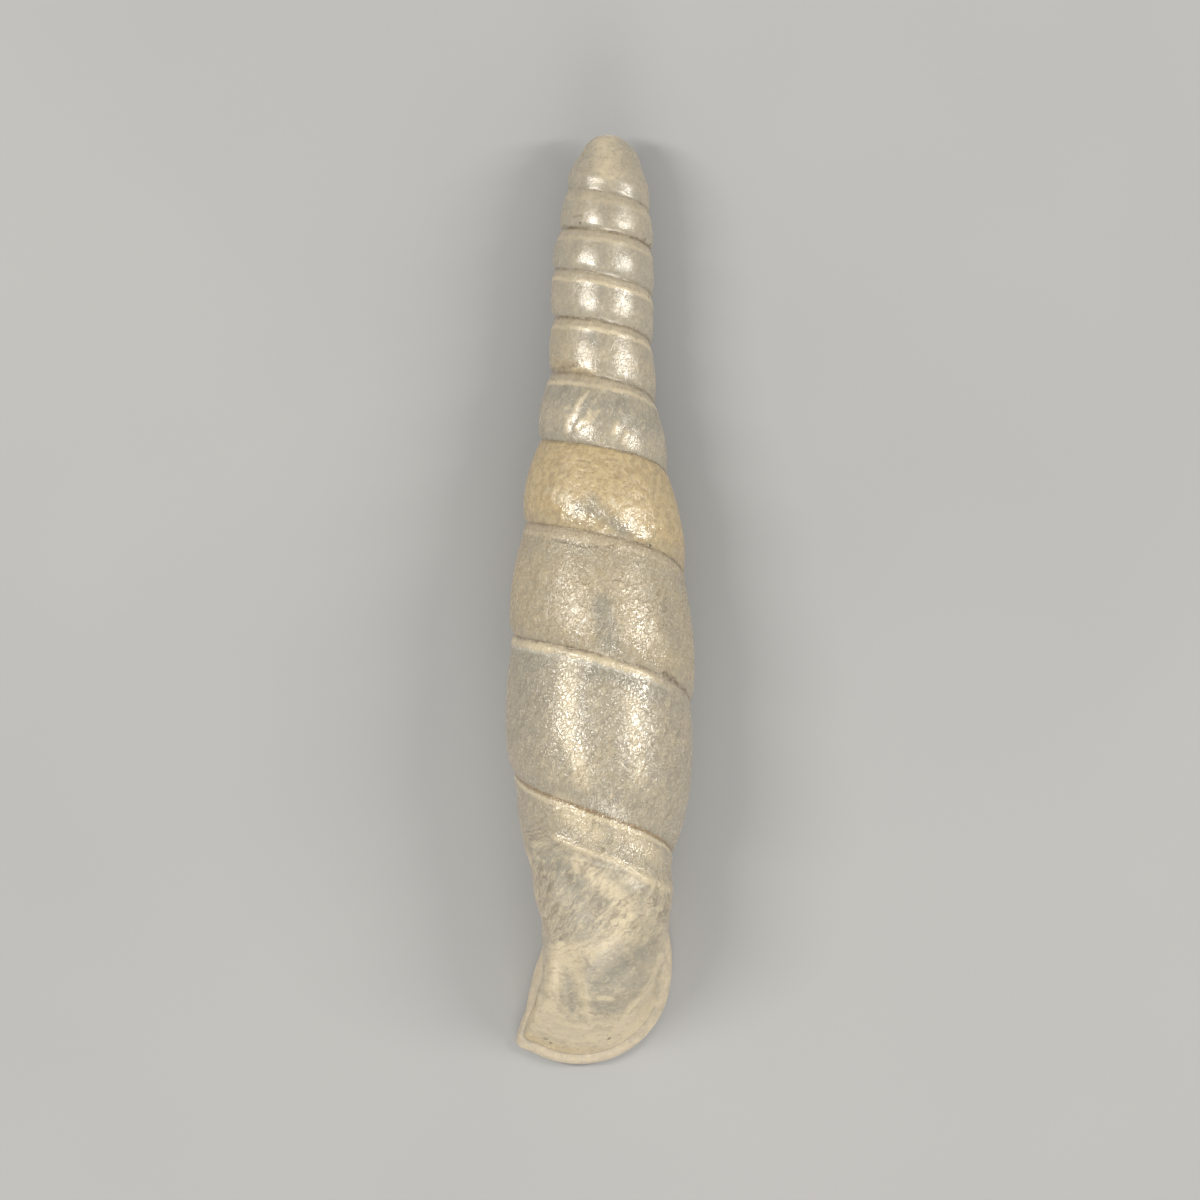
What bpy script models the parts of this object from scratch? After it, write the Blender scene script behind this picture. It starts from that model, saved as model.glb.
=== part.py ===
"""A slender, left-handed door snail shell, lying on its mouth side with the spire towards +Y.

The closed skin has four stretches: the rounded tip of the spire, a coiled strip of nine turns, the last
whorl that draws in to the neck, and the neck that bends down into the flared lip. Past the lip's edge
the skin turns in and lines the mouth.
"""

import math

import bmesh
import bpy
from mathutils import Vector

# Driving sizes are in millimetres, and places along the shell count from the tip of the spire
MILLIMETRE = 0.001
SHELL_LENGTH = 18.0

# Where the suture crosses the left edge of the shell, and half a turn on the right edge
SUTURE_LEFT = (0.38, 1.08, 1.84, 2.60, 3.55, 4.62, 5.90, 7.49, 9.68, 12.32, 15.10)
SUTURE_RIGHT = (0.73, 1.55, 2.25, 3.14, 4.08, 5.22, 6.61, 8.51, 10.98, 13.87)
STRIP_TURNS = 9

# How far the suture bows up towards the tip across the back, and down across the hidden side
SUTURE_BOW = (
    (0, 0.08), (1, 0.20), (3, 0.15), (5, 0.21), (6, 0.18), (7, 0.24), (8, 0.28), (8.5, 0.20), (9, 0.0),
)

# Radius of the shell at these places of the suture, and over the crest of the whorl under each of them
NOTCH_LEFT = (0.50, 0.78, 0.87, 0.93, 0.915, 0.955, 1.16, 1.44, 1.68, 1.655, 1.225)
NOTCH_RIGHT = (0.66, 0.815, 0.895, 0.95, 0.945, 1.025, 1.27, 1.59, 1.73, 1.36)
CREST_LEFT = (0.775, 0.90, 0.985, 0.99, 1.01, 1.215, 1.50, 1.75, 1.835, 1.70)
CREST_RIGHT = (0.81, 0.93, 0.995, 1.00, 1.055, 1.28, 1.62, 1.815, 1.785)

# Where the crest lies, as turns and a share of the whorl's height, and how round the whorl is beside it
CREST_AT = ((0, 0.65), (1, 0.75), (2, 0.66), (3, 0.56), (4, 0.60), (5, 0.76), (7, 0.77), (8, 0.62), (9, 0.30))
ROUND_ABOVE = 1.8
ROUND_BELOW = 3.0

# Radius of the last whorl where no suture draws it in: place along the shell, radius
LAST_RADIUS = (
    (10.20, 1.825), (11.10, 1.825), (11.70, 1.785), (12.40, 1.69), (13.00, 1.57), (13.60, 1.475),
    (13.95, 1.44), (14.20, 1.372), (14.55, 1.355), (14.90, 1.295), (15.15, 1.245), (15.40, 1.226),
)
LAST_FROM_TURN = 8.2

# How far the middle of the shell strays to the right of a straight axis
STRAY = (
    (0.0, 0.155), (0.15, 0.162), (0.38, 0.206), (0.62, 0.170), (0.80, 0.155), (1.1, 0.155), (1.9, 0.10),
    (2.8, 0.04), (10.9, 0.0), (12.4, 0.0), (13.1, -0.035), (13.6, -0.02), (14.2, 0.05), (15.2, 0.087),
)

# The shell lies on two of its whorls and on its lip, so its axis climbs towards the mouth
AXIS_HEIGHT = 1.785
AXIS_HEIGHT_AT = 10.66
AXIS_CLIMB = 0.070

# The crease at the last turn of suture: the share of the whorl's height that it reaches down and up,
# and the angle over which it fades out
CREASE_DOWN = 0.42
CREASE_UP = 0.14
CREASE_END_ANGLE = 0.9

# Where the last whorl ends and the neck starts: degrees round the shell, place along it.
# 0 is the left side, 90 the back, 180 the right side and 270 the side on the floor.
NECK_START = (
    (0, 15.22), (90, 15.30), (180, 15.25), (230, 14.80), (270, 14.60), (300, 14.80), (330, 15.05),
    (360, 15.22),
)

# The back is flattened towards the neck: share of the radius, from and to these places
BACK_FLATTENED = 0.15
BACK_FLATTENED_FROM = 13.0
BACK_FLATTENED_TO = 15.7

# How far the neck runs on before it bends, how steeply its back falls, and how far it stands on the lip
# and leans from it
NECK_RUN_BACK = 0.75
NECK_RUN_FRONT = 0.10
NECK_FALL = 0.25
NECK_STAND_BACK = 1.00
NECK_STAND_FRONT = 0.12
NECK_LEAN = 0.10

# How much the neck is drawn in above the lip, from this share of its way. The factor makes the bend of
# the curve that draws it in as deep as the waist is.
NECK_WAIST = 0.12
WAIST_FROM = 0.4
FULL_WAIST = 6.75

# The rim of the mouth, seen from the back: degrees round the mouth's middle, distance from it
MOUTH_MIDDLE_AT = 16.19
RIM = (
    (0, 1.28), (14, 1.41), (27, 1.62), (34, 1.88), (41, 2.15), (50, 2.06), (68, 1.93), (91, 1.76),
    (120, 1.57), (150, 1.43), (174, 1.38), (199, 1.45), (223, 1.63), (245, 1.84), (267, 1.86),
    (283, 1.72), (301, 1.51), (321, 1.29), (343, 1.21), (360, 1.28),
)

# The lip in section: distance in from the rim, height over the floor. The first pair is its root.
LIP_ROOT = (0.21, 0.34)
LIP_SECTION = (
    (0.10, 0.30), (0.03, 0.25), (0.0, 0.15), (0.02, 0.04), (0.09, 0.0), (0.22, 0.0), (0.31, 0.07),
)

# The wall of the mouth, its two inner blades (degrees round, height) and the end of the pocket
WALL = 0.20
BLADES = ((262, 0.36), (327, 0.32))
BLADE_HALF_WIDTH = 9
BLADE_FADE = 0.25
POCKET_DOME = ((0.80, 0.35), (0.45, 0.75))
POCKET_END = (0.35, 14.45, 2.35)

# Folds and dents on the back of the neck: height, half width, and a route of (right, along) places.
# They fade out towards the sides, where the sine of the angle is under FOLDS_FADE.
FOLDS_FADE = 0.4
FOLDS = (
    (0.10, 0.24, ((0.85, 14.45), (0.05, 15.05), (-0.80, 15.50))),
    (-0.07, 0.38, ((-0.75, 14.35), (-0.20, 14.75))),
    (-0.10, 0.34, ((1.05, 15.70), (0.25, 16.70))),
    (0.06, 0.13, ((-0.85, 15.60), (-1.02, 16.40), (-1.10, 16.90))),
    (-0.08, 0.14, ((-0.50, 16.05), (-0.45, 16.90))),
)

# How finely the skin is cut: columns in a turn, and rows at these shares of a whorl's height
COLUMNS = 36
ROWS = (0.0, 0.05, 0.16, 0.32, 0.50, 0.68, 0.84, 0.95)
TIP_RINGS = (0.25, 0.50, 0.75)
TIP_BLUNTNESS = 0.8
WHORL_RINGS = 7
WHORL_RINGS_CROWDED = 1.5
NECK_RINGS = 9
POCKET_RINGS = 7
LINING_FIRST = 0.96

SHELL_COLOUR = (0.50, 0.45, 0.36, 1.0)
SHELL_ROUGHNESS = 0.38
SHARP_ANGLE = math.radians(50)


def clear_scene():
    """Empty the scene."""
    for item in list(bpy.data.objects):
        bpy.data.objects.remove(item, do_unlink=True)


def mix(low, high, share):
    """Value or point between two others."""
    return low + (high - low) * share


def curve_through(points, at):
    """Height at one place of the smooth curve through the listed points."""
    if at <= points[0][0]:
        return points[0][1]
    if at >= points[-1][0]:
        return points[-1][1]
    last = len(points) - 1
    left = max(index for index in range(last) if points[index][0] <= at)

    def slope(index):
        before = points[max(index - 1, 0)]
        after = points[min(index + 1, last)]
        return (after[1] - before[1]) / (after[0] - before[0])

    (start, low), (stop, high) = points[left], points[left + 1]
    step = stop - start
    part = (at - start) / step
    return (
        low * (2 * part**3 - 3 * part**2 + 1)
        + slope(left) * step * (part**3 - 2 * part**2 + part)
        + high * (3 * part**2 - 2 * part**3)
        + slope(left + 1) * step * (part**3 - part**2)
    )


def smooth_share(low, high, at):
    """0 below low, 1 over high and smooth between."""
    share = min(max((at - low) / (high - low), 0.0), 1.0)
    return share * share * (3 - 2 * share)


def by_half_turns(left, right):
    """Curve of the values listed for the left and the right edge of the shell."""
    pairs = [(float(turn), value) for turn, value in enumerate(left)]
    return sorted(pairs + [(turn + 0.5, value) for turn, value in enumerate(right)])


SUTURE = by_half_turns(SUTURE_LEFT, SUTURE_RIGHT)
NOTCH = by_half_turns(NOTCH_LEFT, NOTCH_RIGHT)
CREST = by_half_turns(CREST_LEFT, CREST_RIGHT)
LAST_WHORL_HEIGHT = SUTURE_LEFT[STRIP_TURNS + 1] - SUTURE_LEFT[STRIP_TURNS]


def suture_at(turn):
    """Place of the suture along the shell after so many turns."""
    return curve_through(SUTURE, turn) - curve_through(SUTURE_BOW, turn) * math.sin(math.tau * turn)


def notch_depth(turn):
    """Depth of the crease under the smooth outline of the last whorl."""
    return curve_through(LAST_RADIUS, suture_at(turn)) - curve_through(NOTCH, turn)


def under_suture(share):
    """Part of the crease's depth at a share of a whorl's height under a suture."""
    return max(1 - share / CREASE_DOWN, 0.0) ** 2


def over_suture(share):
    """Part of the crease's depth at a share of a whorl's height over a suture."""
    return 1 - math.sqrt(1 - max(1 - share / CREASE_UP, 0.0) ** 2)


def round_radius(turn, share):
    """Radius of a rounded whorl between two sutures, at a share of its height."""
    crest = curve_through(CREST, turn)
    crest_at = curve_through(CREST_AT, turn)
    if share < crest_at:
        return mix(crest, curve_through(NOTCH, turn), (1 - share / crest_at) ** ROUND_ABOVE)
    return mix(crest, curve_through(NOTCH, turn + 1), ((share - crest_at) / (1 - crest_at)) ** ROUND_BELOW)


def strip_radius(turn, share):
    """Radius of the coiled strip, whose last turns pass into the outline of the last whorl."""
    along = mix(suture_at(turn), suture_at(turn + 1), share)
    late = curve_through(LAST_RADIUS, along) - notch_depth(turn) * under_suture(share)
    late -= notch_depth(turn + 1) * over_suture(1 - share)
    return mix(round_radius(turn, share), late, smooth_share(LAST_FROM_TURN, STRIP_TURNS, turn))


def on_shell(along, angle, radius):
    """Point of the skin. Angle 0 is the left side, and it grows over the back to the right side."""
    height = AXIS_HEIGHT + AXIS_CLIMB * (along - AXIS_HEIGHT_AT)
    flattened = BACK_FLATTENED * smooth_share(BACK_FLATTENED_FROM, BACK_FLATTENED_TO, along)
    return Vector((
        curve_through(STRAY, along) - radius * math.cos(angle),
        SHELL_LENGTH / 2 - along,
        height + radius * math.sin(angle) * (1 - flattened * max(math.sin(angle), 0.0)),
    ))


def strip_point(turn, share, angle):
    """Point of the coiled strip, at a share of the whorl's height under its upper suture."""
    here = turn + angle / math.tau
    along = mix(suture_at(here), suture_at(here + 1), share)
    return on_shell(along, angle, strip_radius(here, share))


def whorl_point(along, angle):
    """Point of the last whorl, under the last turn of the suture."""
    turn = STRIP_TURNS + angle / math.tau
    share = max(along - suture_at(turn), 0.0) / LAST_WHORL_HEIGHT
    radius = curve_through(LAST_RADIUS, along) - notch_depth(turn) * under_suture(share)
    end = over_suture(1 - share) if share < 1 else under_suture(share - 1)
    fade = 1 - smooth_share(0.0, CREASE_END_ANGLE, angle)
    return on_shell(along, angle, radius - notch_depth(STRIP_TURNS + 1) * end * fade)


def way_to_route(right, along, route):
    """Shortest distance from a place on the back to a route of straight runs."""
    nearest = math.inf
    for (x0, y0), (x1, y1) in zip(route, route[1:]):
        run = Vector((x1 - x0, y1 - y0))
        way = Vector((right - x0, along - y0))
        share = min(max(way.dot(run) / run.length_squared, 0.0), 1.0)
        nearest = min(nearest, (way - run * share).length)
    return nearest


def folded(point, angle):
    """The same point with the folds and dents of the neck's back."""
    weight = smooth_share(0.0, FOLDS_FADE, math.sin(angle))
    if weight == 0:
        return point
    along = SHELL_LENGTH / 2 - point.y
    rise = sum(
        height * math.exp(-((way_to_route(point.x, along, route) / width) ** 2))
        for height, width, route in FOLDS
    )
    return point + Vector((0, 0, rise * weight))


def rim_point(angle, inset, height):
    """Point of the lip, at a distance in from the rim."""
    reach = curve_through(RIM, math.degrees(angle % math.tau)) - inset
    return Vector((
        -reach * math.cos(angle),
        SHELL_LENGTH / 2 - MOUTH_MIDDLE_AT - reach * math.sin(angle),
        height,
    ))


def neck_point(angle, share):
    """Point of the neck, on a bent path from the last whorl to the root of the lip."""
    front = (1 - math.sin(angle)) / 2
    start = whorl_point(curve_through(NECK_START, math.degrees(angle)), angle)
    stop = rim_point(angle, *LIP_ROOT)
    turn = front * math.pi / 2
    way = Vector((0, -math.cos(turn), -math.sin(turn) - NECK_FALL * (1 - front))).normalized()
    onward = way * mix(NECK_RUN_BACK, NECK_RUN_FRONT, front)
    upward = Vector((0, NECK_LEAN, 1)) * mix(NECK_STAND_BACK, NECK_STAND_FRONT, front)
    rest = 1 - share
    near_lip = max((share - WAIST_FROM) / (1 - WAIST_FROM), 0.0)
    narrowed = NECK_WAIST * smooth_share(0.0, 0.5, 1 - front) * FULL_WAIST * near_lip**2 * (1 - near_lip)
    point = (
        start * rest**3
        + (start + onward) * 3 * rest**2 * share
        + (stop + upward) * 3 * rest * share**2
        + stop * share**3
        + Vector((math.cos(angle), math.sin(angle), 0)) * narrowed
    )
    return folded(point, angle)


def neck_ring(angles, share):
    """Points of one ring of the neck."""
    return [neck_point(angle, share) for angle in angles]


def lining_ring(angles, share):
    """Points of one ring of the mouth's lining, a wall's thickness inside the neck's skin."""
    outer = neck_ring(angles, share)
    middle = sum(outer, Vector()) / len(outer)
    inner = []
    for angle, point in zip(angles, outer):
        depth = WALL
        for degrees, height in BLADES:
            off = abs(math.degrees(angle % math.tau) - degrees) / BLADE_HALF_WIDTH
            ends = smooth_share(0.0, BLADE_FADE, share) * smooth_share(0.0, BLADE_FADE, 1 - share)
            depth += height * max(1 - off, 0.0) * ends
        inner.append(point + (middle - point).normalized() * depth)
    return inner


def add_strip(skin):
    """Add the coiled strip, whose turns share their edge at the suture, and give its rows."""
    count = STRIP_TURNS * len(ROWS) + 1
    rows = []
    for row in range(count):
        turn, step = divmod(row, len(ROWS))
        angles = [math.tau * column / COLUMNS for column in range(COLUMNS)]
        rows.append([skin.verts.new(strip_point(turn, ROWS[step], angle)) for angle in angles])
    for row, line in enumerate(rows):
        if row + len(ROWS) < count:
            line.append(rows[row + len(ROWS)][0])
        else:
            turn, step = divmod(row, len(ROWS))
            line.append(skin.verts.new(strip_point(turn, ROWS[step], math.tau)))
    for upper, lower in zip(rows, rows[1:]):
        for column in range(COLUMNS):
            skin.faces.new((upper[column], lower[column], lower[column + 1], upper[column + 1]))
    return rows


def strip_edge(rows, turn):
    """Vertices along the strip's first or last edge: a turn of suture, then the step to the next turn."""
    if turn == 0:
        return rows[0][:COLUMNS] + [rows[row][0] for row in range(len(ROWS), 0, -1)]
    return rows[-1][:COLUMNS] + [rows[-1 - row][COLUMNS] for row in range(len(ROWS))]


def edge_places(turn):
    """Angle, place along the shell and radius of the same vertices."""
    places = []
    for column in range(COLUMNS):
        here = turn + column / COLUMNS
        places.append((math.tau * column / COLUMNS, suture_at(here), curve_through(NOTCH, here)))
    side = math.tau if turn == 0 else 0.0
    for share in [1.0] + sorted(ROWS[1:], reverse=True):
        along = mix(suture_at(turn), suture_at(turn + 1), share)
        places.append((side, along, strip_radius(turn, share)))
    return places


def ring_angles(turn):
    """Evenly spaced angles of a closed ring, in the order of the strip's edge."""
    count = COLUMNS + len(ROWS)
    first = 0 if turn == 0 else len(ROWS)
    return [math.tau * ((first + index) % count) / count for index in range(count)]


def grow(skin, ring, points):
    """Grow the skin from one ring of vertices to the next."""
    new = [skin.verts.new(point) for point in points]
    for index, vertex in enumerate(new):
        skin.faces.new((ring[index - 1], ring[index], vertex, new[index - 1]))
    return new


def close(skin, ring, point):
    """Close a ring of vertices in a point."""
    pole = skin.verts.new(point)
    for index, vertex in enumerate(ring):
        skin.faces.new((ring[index - 1], vertex, pole))


def add_tip(skin, rows):
    """Round the spire off from the first turn of suture."""
    ring = strip_edge(rows, 0)
    places = edge_places(0)
    angles = ring_angles(0)
    for share in TIP_RINGS:
        points = []
        for (start_angle, along, radius), angle in zip(places, angles):
            narrowed = radius * (1 - share) ** TIP_BLUNTNESS
            points.append(on_shell(along * (1 - share) ** 2, mix(start_angle, angle, share), narrowed))
        ring = grow(skin, ring, points)
    close(skin, ring, on_shell(0.0, 0.0, 0.0))


def add_last_whorl(skin, rows, angles):
    """Draw the last whorl in from the last turn of suture to the neck."""
    ring = strip_edge(rows, STRIP_TURNS)
    places = edge_places(STRIP_TURNS)
    for step in range(1, WHORL_RINGS + 1):
        share = (step / WHORL_RINGS) ** WHORL_RINGS_CROWDED
        points = []
        for (start_angle, start_along, _), last_angle in zip(places, angles):
            along = mix(start_along, curve_through(NECK_START, math.degrees(last_angle)), share)
            angle = mix(start_angle, last_angle, share)
            points.append(folded(whorl_point(along, angle), angle))
        ring = grow(skin, ring, points)
    return ring


def add_neck_and_mouth(skin, ring, angles):
    """Bend the neck down to the lip, turn over the lip's edge and line the mouth."""
    for step in range(1, NECK_RINGS + 1):
        ring = grow(skin, ring, neck_ring(angles, step / NECK_RINGS))
    for inset, height in LIP_SECTION:
        ring = grow(skin, ring, [rim_point(angle, inset, height) for angle in angles])
    for step in range(POCKET_RINGS + 1):
        lining = lining_ring(angles, LINING_FIRST * (1 - step / POCKET_RINGS))
        ring = grow(skin, ring, lining)
    middle = sum(lining, Vector()) / len(lining)
    end = Vector((POCKET_END[0], SHELL_LENGTH / 2 - POCKET_END[1], POCKET_END[2]))
    for size, way in POCKET_DOME:
        dome = mix(middle, end, way)
        ring = grow(skin, ring, [dome + (point - middle) * size for point in lining])
    close(skin, ring, end)


def rest_on_floor(skin):
    """Wear small flats where the shell meets the floor, and set its middle over the origin."""
    for vertex in skin.verts:
        vertex.co.z = max(vertex.co.z, 0.0)
    for axis in (0, 1):
        ends = [vertex.co[axis] for vertex in skin.verts]
        middle = (min(ends) + max(ends)) / 2
        for vertex in skin.verts:
            vertex.co[axis] -= middle


def shell_material():
    """Pale horn-coloured shell with a soft gloss."""
    material = bpy.data.materials.new("pale_shell")
    material.use_nodes = True
    surface = material.node_tree.nodes["Principled BSDF"]
    surface.inputs["Base Color"].default_value = SHELL_COLOUR
    surface.inputs["Roughness"].default_value = SHELL_ROUGHNESS
    surface.inputs["Metallic"].default_value = 0.0
    return material


def make_shell():
    """The whole shell as one closed body."""
    skin = bmesh.new()
    rows = add_strip(skin)
    add_tip(skin, rows)
    angles = ring_angles(STRIP_TURNS)
    ring = add_last_whorl(skin, rows, angles)
    add_neck_and_mouth(skin, ring, angles)
    rest_on_floor(skin)
    bmesh.ops.scale(skin, vec=(MILLIMETRE, MILLIMETRE, MILLIMETRE), verts=skin.verts)
    bmesh.ops.triangulate(skin, faces=skin.faces)
    bmesh.ops.recalc_face_normals(skin, faces=skin.faces)
    mesh = bpy.data.meshes.new("shell")
    skin.to_mesh(mesh)
    skin.free()
    mesh.materials.append(shell_material())
    mesh.shade_smooth()
    mesh.set_sharp_from_angle(angle=SHARP_ANGLE)
    shell = bpy.data.objects.new("shell", mesh)
    bpy.context.collection.objects.link(shell)
    return shell


def main():
    """Build the shell in an empty scene."""
    clear_scene()
    make_shell()


main()
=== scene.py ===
"""Looks of a slender, left-handed door snail shell, lying on its mouth side with the spire towards +Y.

Sizes are in millimetres until the mesh is made. Places along the shell count from the tip of the spire,
and angles go round it: 0 is the left side, 90 the back, 180 the right side and 270 the side on the floor.
"""

import math
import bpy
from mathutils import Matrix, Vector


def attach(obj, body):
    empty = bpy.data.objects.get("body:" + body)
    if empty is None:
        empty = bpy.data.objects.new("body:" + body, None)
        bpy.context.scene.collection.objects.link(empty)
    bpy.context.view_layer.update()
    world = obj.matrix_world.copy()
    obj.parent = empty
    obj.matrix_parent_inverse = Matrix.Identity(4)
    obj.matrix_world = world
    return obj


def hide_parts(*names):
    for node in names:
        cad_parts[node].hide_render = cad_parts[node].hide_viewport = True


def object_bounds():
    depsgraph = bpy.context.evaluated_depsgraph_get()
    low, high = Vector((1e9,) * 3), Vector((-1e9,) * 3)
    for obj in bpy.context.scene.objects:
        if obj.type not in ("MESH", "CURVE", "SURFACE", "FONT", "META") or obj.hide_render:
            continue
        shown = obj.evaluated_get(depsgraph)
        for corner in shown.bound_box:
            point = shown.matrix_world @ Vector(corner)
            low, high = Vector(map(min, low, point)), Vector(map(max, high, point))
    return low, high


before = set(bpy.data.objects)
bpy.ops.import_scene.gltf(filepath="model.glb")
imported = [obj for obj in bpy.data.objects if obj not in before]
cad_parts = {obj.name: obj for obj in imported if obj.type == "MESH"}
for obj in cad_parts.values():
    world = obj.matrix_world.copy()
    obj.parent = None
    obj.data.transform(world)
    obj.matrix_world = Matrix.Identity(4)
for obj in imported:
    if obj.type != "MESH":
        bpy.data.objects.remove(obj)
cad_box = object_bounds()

from types import SimpleNamespace

import bpy
import numpy as np
from mathutils import Vector, noise

MILLIMETRE = 0.001
SHELL_LENGTH = 18.0

# Where the suture crosses the left edge of the shell, and half a turn on the right edge
SUTURE_LEFT = (0.38, 1.08, 1.84, 2.60, 3.55, 4.62, 5.90, 7.49, 9.68, 12.32, 15.10)
SUTURE_RIGHT = (0.73, 1.55, 2.25, 3.14, 4.08, 5.22, 6.61, 8.51, 10.98, 13.87)
STRIP_TURNS = 9

# How far the suture bows up towards the tip across the back, and down across the hidden side
SUTURE_BOW = (
    (0, 0.08), (1, 0.20), (3, 0.15), (5, 0.21), (6, 0.18), (7, 0.24), (8, 0.28), (8.5, 0.20), (9, 0.0),
)

# Radius of the shell at these places of the suture, and over the crest of the whorl under each of them
NOTCH_LEFT = (0.50, 0.78, 0.87, 0.93, 0.915, 0.955, 1.16, 1.44, 1.68, 1.655, 1.225)
NOTCH_RIGHT = (0.66, 0.815, 0.895, 0.95, 0.945, 1.025, 1.27, 1.59, 1.73, 1.36)
CREST_LEFT = (0.775, 0.90, 0.985, 0.99, 1.01, 1.215, 1.50, 1.75, 1.835, 1.70)
CREST_RIGHT = (0.81, 0.93, 0.995, 1.00, 1.055, 1.28, 1.62, 1.815, 1.785)

# Where the crest lies, as turns and a share of the whorl's height, and how round the whorl is beside it
CREST_AT = (
    (0, 0.65), (1, 0.75), (2, 0.66), (3, 0.56), (4, 0.60), (5, 0.76), (7, 0.77), (8, 0.62), (9, 0.30),
)
ROUND_ABOVE = 1.8
ROUND_BELOW = 3.0

# Radius of the last whorl where no suture draws it in: place along the shell, radius
LAST_RADIUS = (
    (10.20, 1.825), (11.10, 1.825), (11.70, 1.785), (12.40, 1.69), (13.00, 1.57), (13.60, 1.475),
    (13.95, 1.44), (14.20, 1.372), (14.55, 1.355), (14.90, 1.295), (15.15, 1.245), (15.40, 1.226),
)
LAST_FROM_TURN = 8.2

# How far the middle of the shell strays to the right of a straight axis
STRAY = (
    (0.0, 0.155), (0.15, 0.162), (0.38, 0.206), (0.62, 0.170), (0.80, 0.155), (1.1, 0.155), (1.9, 0.10),
    (2.8, 0.04), (10.9, 0.0), (12.4, 0.0), (13.1, -0.035), (13.6, -0.02), (14.2, 0.05), (15.2, 0.087),
)

# The axis climbs towards the mouth
AXIS_HEIGHT = 1.785
AXIS_HEIGHT_AT = 10.66
AXIS_CLIMB = 0.070

# The crease at the last turn of suture: the share of the whorl's height that it reaches down and up,
# and the angle over which it fades out
CREASE_DOWN = 0.42
CREASE_UP = 0.14
CREASE_END_ANGLE = 0.9

# Where the last whorl ends and the neck starts: degrees round the shell, place along it
NECK_START = (
    (0, 15.22), (90, 15.30), (180, 15.25), (230, 14.80), (270, 14.60), (300, 14.80), (330, 15.05),
    (360, 15.22),
)
BACK_FLATTENED = 0.15
BACK_FLATTENED_FROM = 13.0
BACK_FLATTENED_TO = 15.7

# How far the neck runs on before it bends, how steeply its back falls, and how far it stands on the lip
# and leans from it
NECK_RUN_BACK = 0.75
NECK_RUN_FRONT = 0.10
NECK_FALL = 0.25
NECK_STAND_BACK = 1.00
NECK_STAND_FRONT = 0.12
NECK_LEAN = 0.10

# How much the neck is drawn in above the lip, from this share of its way, fading out over this share of
# the way from the back to the front. The factor makes the curve that draws it in as deep as the waist is.
NECK_WAIST = 0.12
WAIST_FROM = 0.4
WAIST_BACK = 0.5
FULL_WAIST = 6.75

# The rim of the mouth: degrees round the mouth's middle, distance from it
MOUTH_MIDDLE_AT = 16.19
RIM = (
    (0, 1.28), (14, 1.41), (27, 1.62), (34, 1.88), (41, 2.15), (50, 2.06), (68, 1.93), (91, 1.76),
    (120, 1.57), (150, 1.43), (174, 1.38), (199, 1.45), (223, 1.63), (245, 1.84), (267, 1.86),
    (283, 1.72), (301, 1.51), (321, 1.29), (343, 1.21), (360, 1.28),
)

# The lip in section: share of the way round it, with the distance in from the rim or the height
LIP_INSET = (
    (0.0, 0.21), (0.12, 0.155), (0.25, 0.095), (0.38, 0.035), (0.50, 0.0), (0.62, 0.015), (0.72, 0.07),
    (0.85, 0.20), (1.0, 0.30),
)
LIP_HEIGHT = (
    (0.0, 0.34), (0.12, 0.315), (0.25, 0.30), (0.38, 0.25), (0.50, 0.16), (0.62, 0.06), (0.72, 0.0),
    (0.85, 0.0), (1.0, 0.06),
)

# The wall of the mouth, its two inner blades (degrees round, height) and where the pocket ends
# (right, along, up)
WALL = 0.20
BLADES = ((262, 0.36), (327, 0.32))
BLADE_HALF_WIDTH = 9
BLADE_FADE = 0.25
LINING_FIRST = 0.96
POCKET_END = (0.35, 14.45, 2.35)

# Folds, ridges and dents on the back: height, half width, and a route of (right, along) places.
# They fade out towards the sides, where the sine of the angle is under FOLDS_FADE.
FOLDS_FADE = 0.4
FOLDS = (
    (0.05, 0.24, ((0.85, 14.45), (0.05, 15.05), (-0.80, 15.50))),
    (-0.07, 0.38, ((-0.75, 14.35), (-0.20, 14.75))),
    (-0.10, 0.34, ((1.05, 15.70), (0.25, 16.70))),
    (0.06, 0.13, ((-0.85, 15.60), (-1.02, 16.40), (-1.10, 16.90))),
    (-0.08, 0.14, ((-0.50, 16.05), (-0.45, 16.90))),
    (0.030, 0.07, ((-0.97, 13.60), (-0.39, 13.79), (0.39, 14.10), (1.31, 14.56))),
    (0.020, 0.12, ((-0.52, 15.95), (-0.32, 16.53), (-0.25, 17.02))),
    (0.030, 0.10, ((1.20, 15.86), (0.77, 16.73), (0.48, 17.40))),
)

# Finer folds on the back: the knob on the thread, the dents at the palatal fold's end and under it,
# the dent at the foot of the neck's striae, and the ledge and the notched ridge beside the lip
FINE_FOLDS = (
    (0.030, 0.06, ((0.17, 9.93), (0.21, 9.96))),
    (-0.030, 0.07, ((-1.04, 13.66), (-1.00, 13.68))),
    (0.022, 0.05, ((-0.89, 13.56), (-0.44, 13.77), (0.33, 14.02), (0.95, 14.41))),
    (-0.025, 0.08, ((-0.75, 13.86), (-0.30, 14.00), (0.30, 14.24))),
    (-0.045, 0.08, ((-0.80, 15.50), (-0.72, 15.56))),
    (0.025, 0.08, ((-0.88, 15.75), (-0.92, 16.30), (-0.97, 17.00))),
    (-0.030, 0.08, ((-0.60, 16.20), (-0.58, 16.55), (-0.53, 16.95))),
    (0.012, 0.08, ((-0.42, 15.95), (-0.34, 16.43), (-0.26, 16.96))),
    (-0.040, 0.16, ((0.95, 15.78), (0.50, 16.05), (0.00, 16.45))),
    (-0.045, 0.12, ((-0.12, 16.86), (0.42, 16.90))),
    (0.035, 0.05, ((-0.20, 17.04), (0.50, 17.08))),
    (0.050, 0.08, ((1.18, 15.80), (1.00, 16.40), (0.64, 16.95), (0.30, 17.25))),
)

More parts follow.
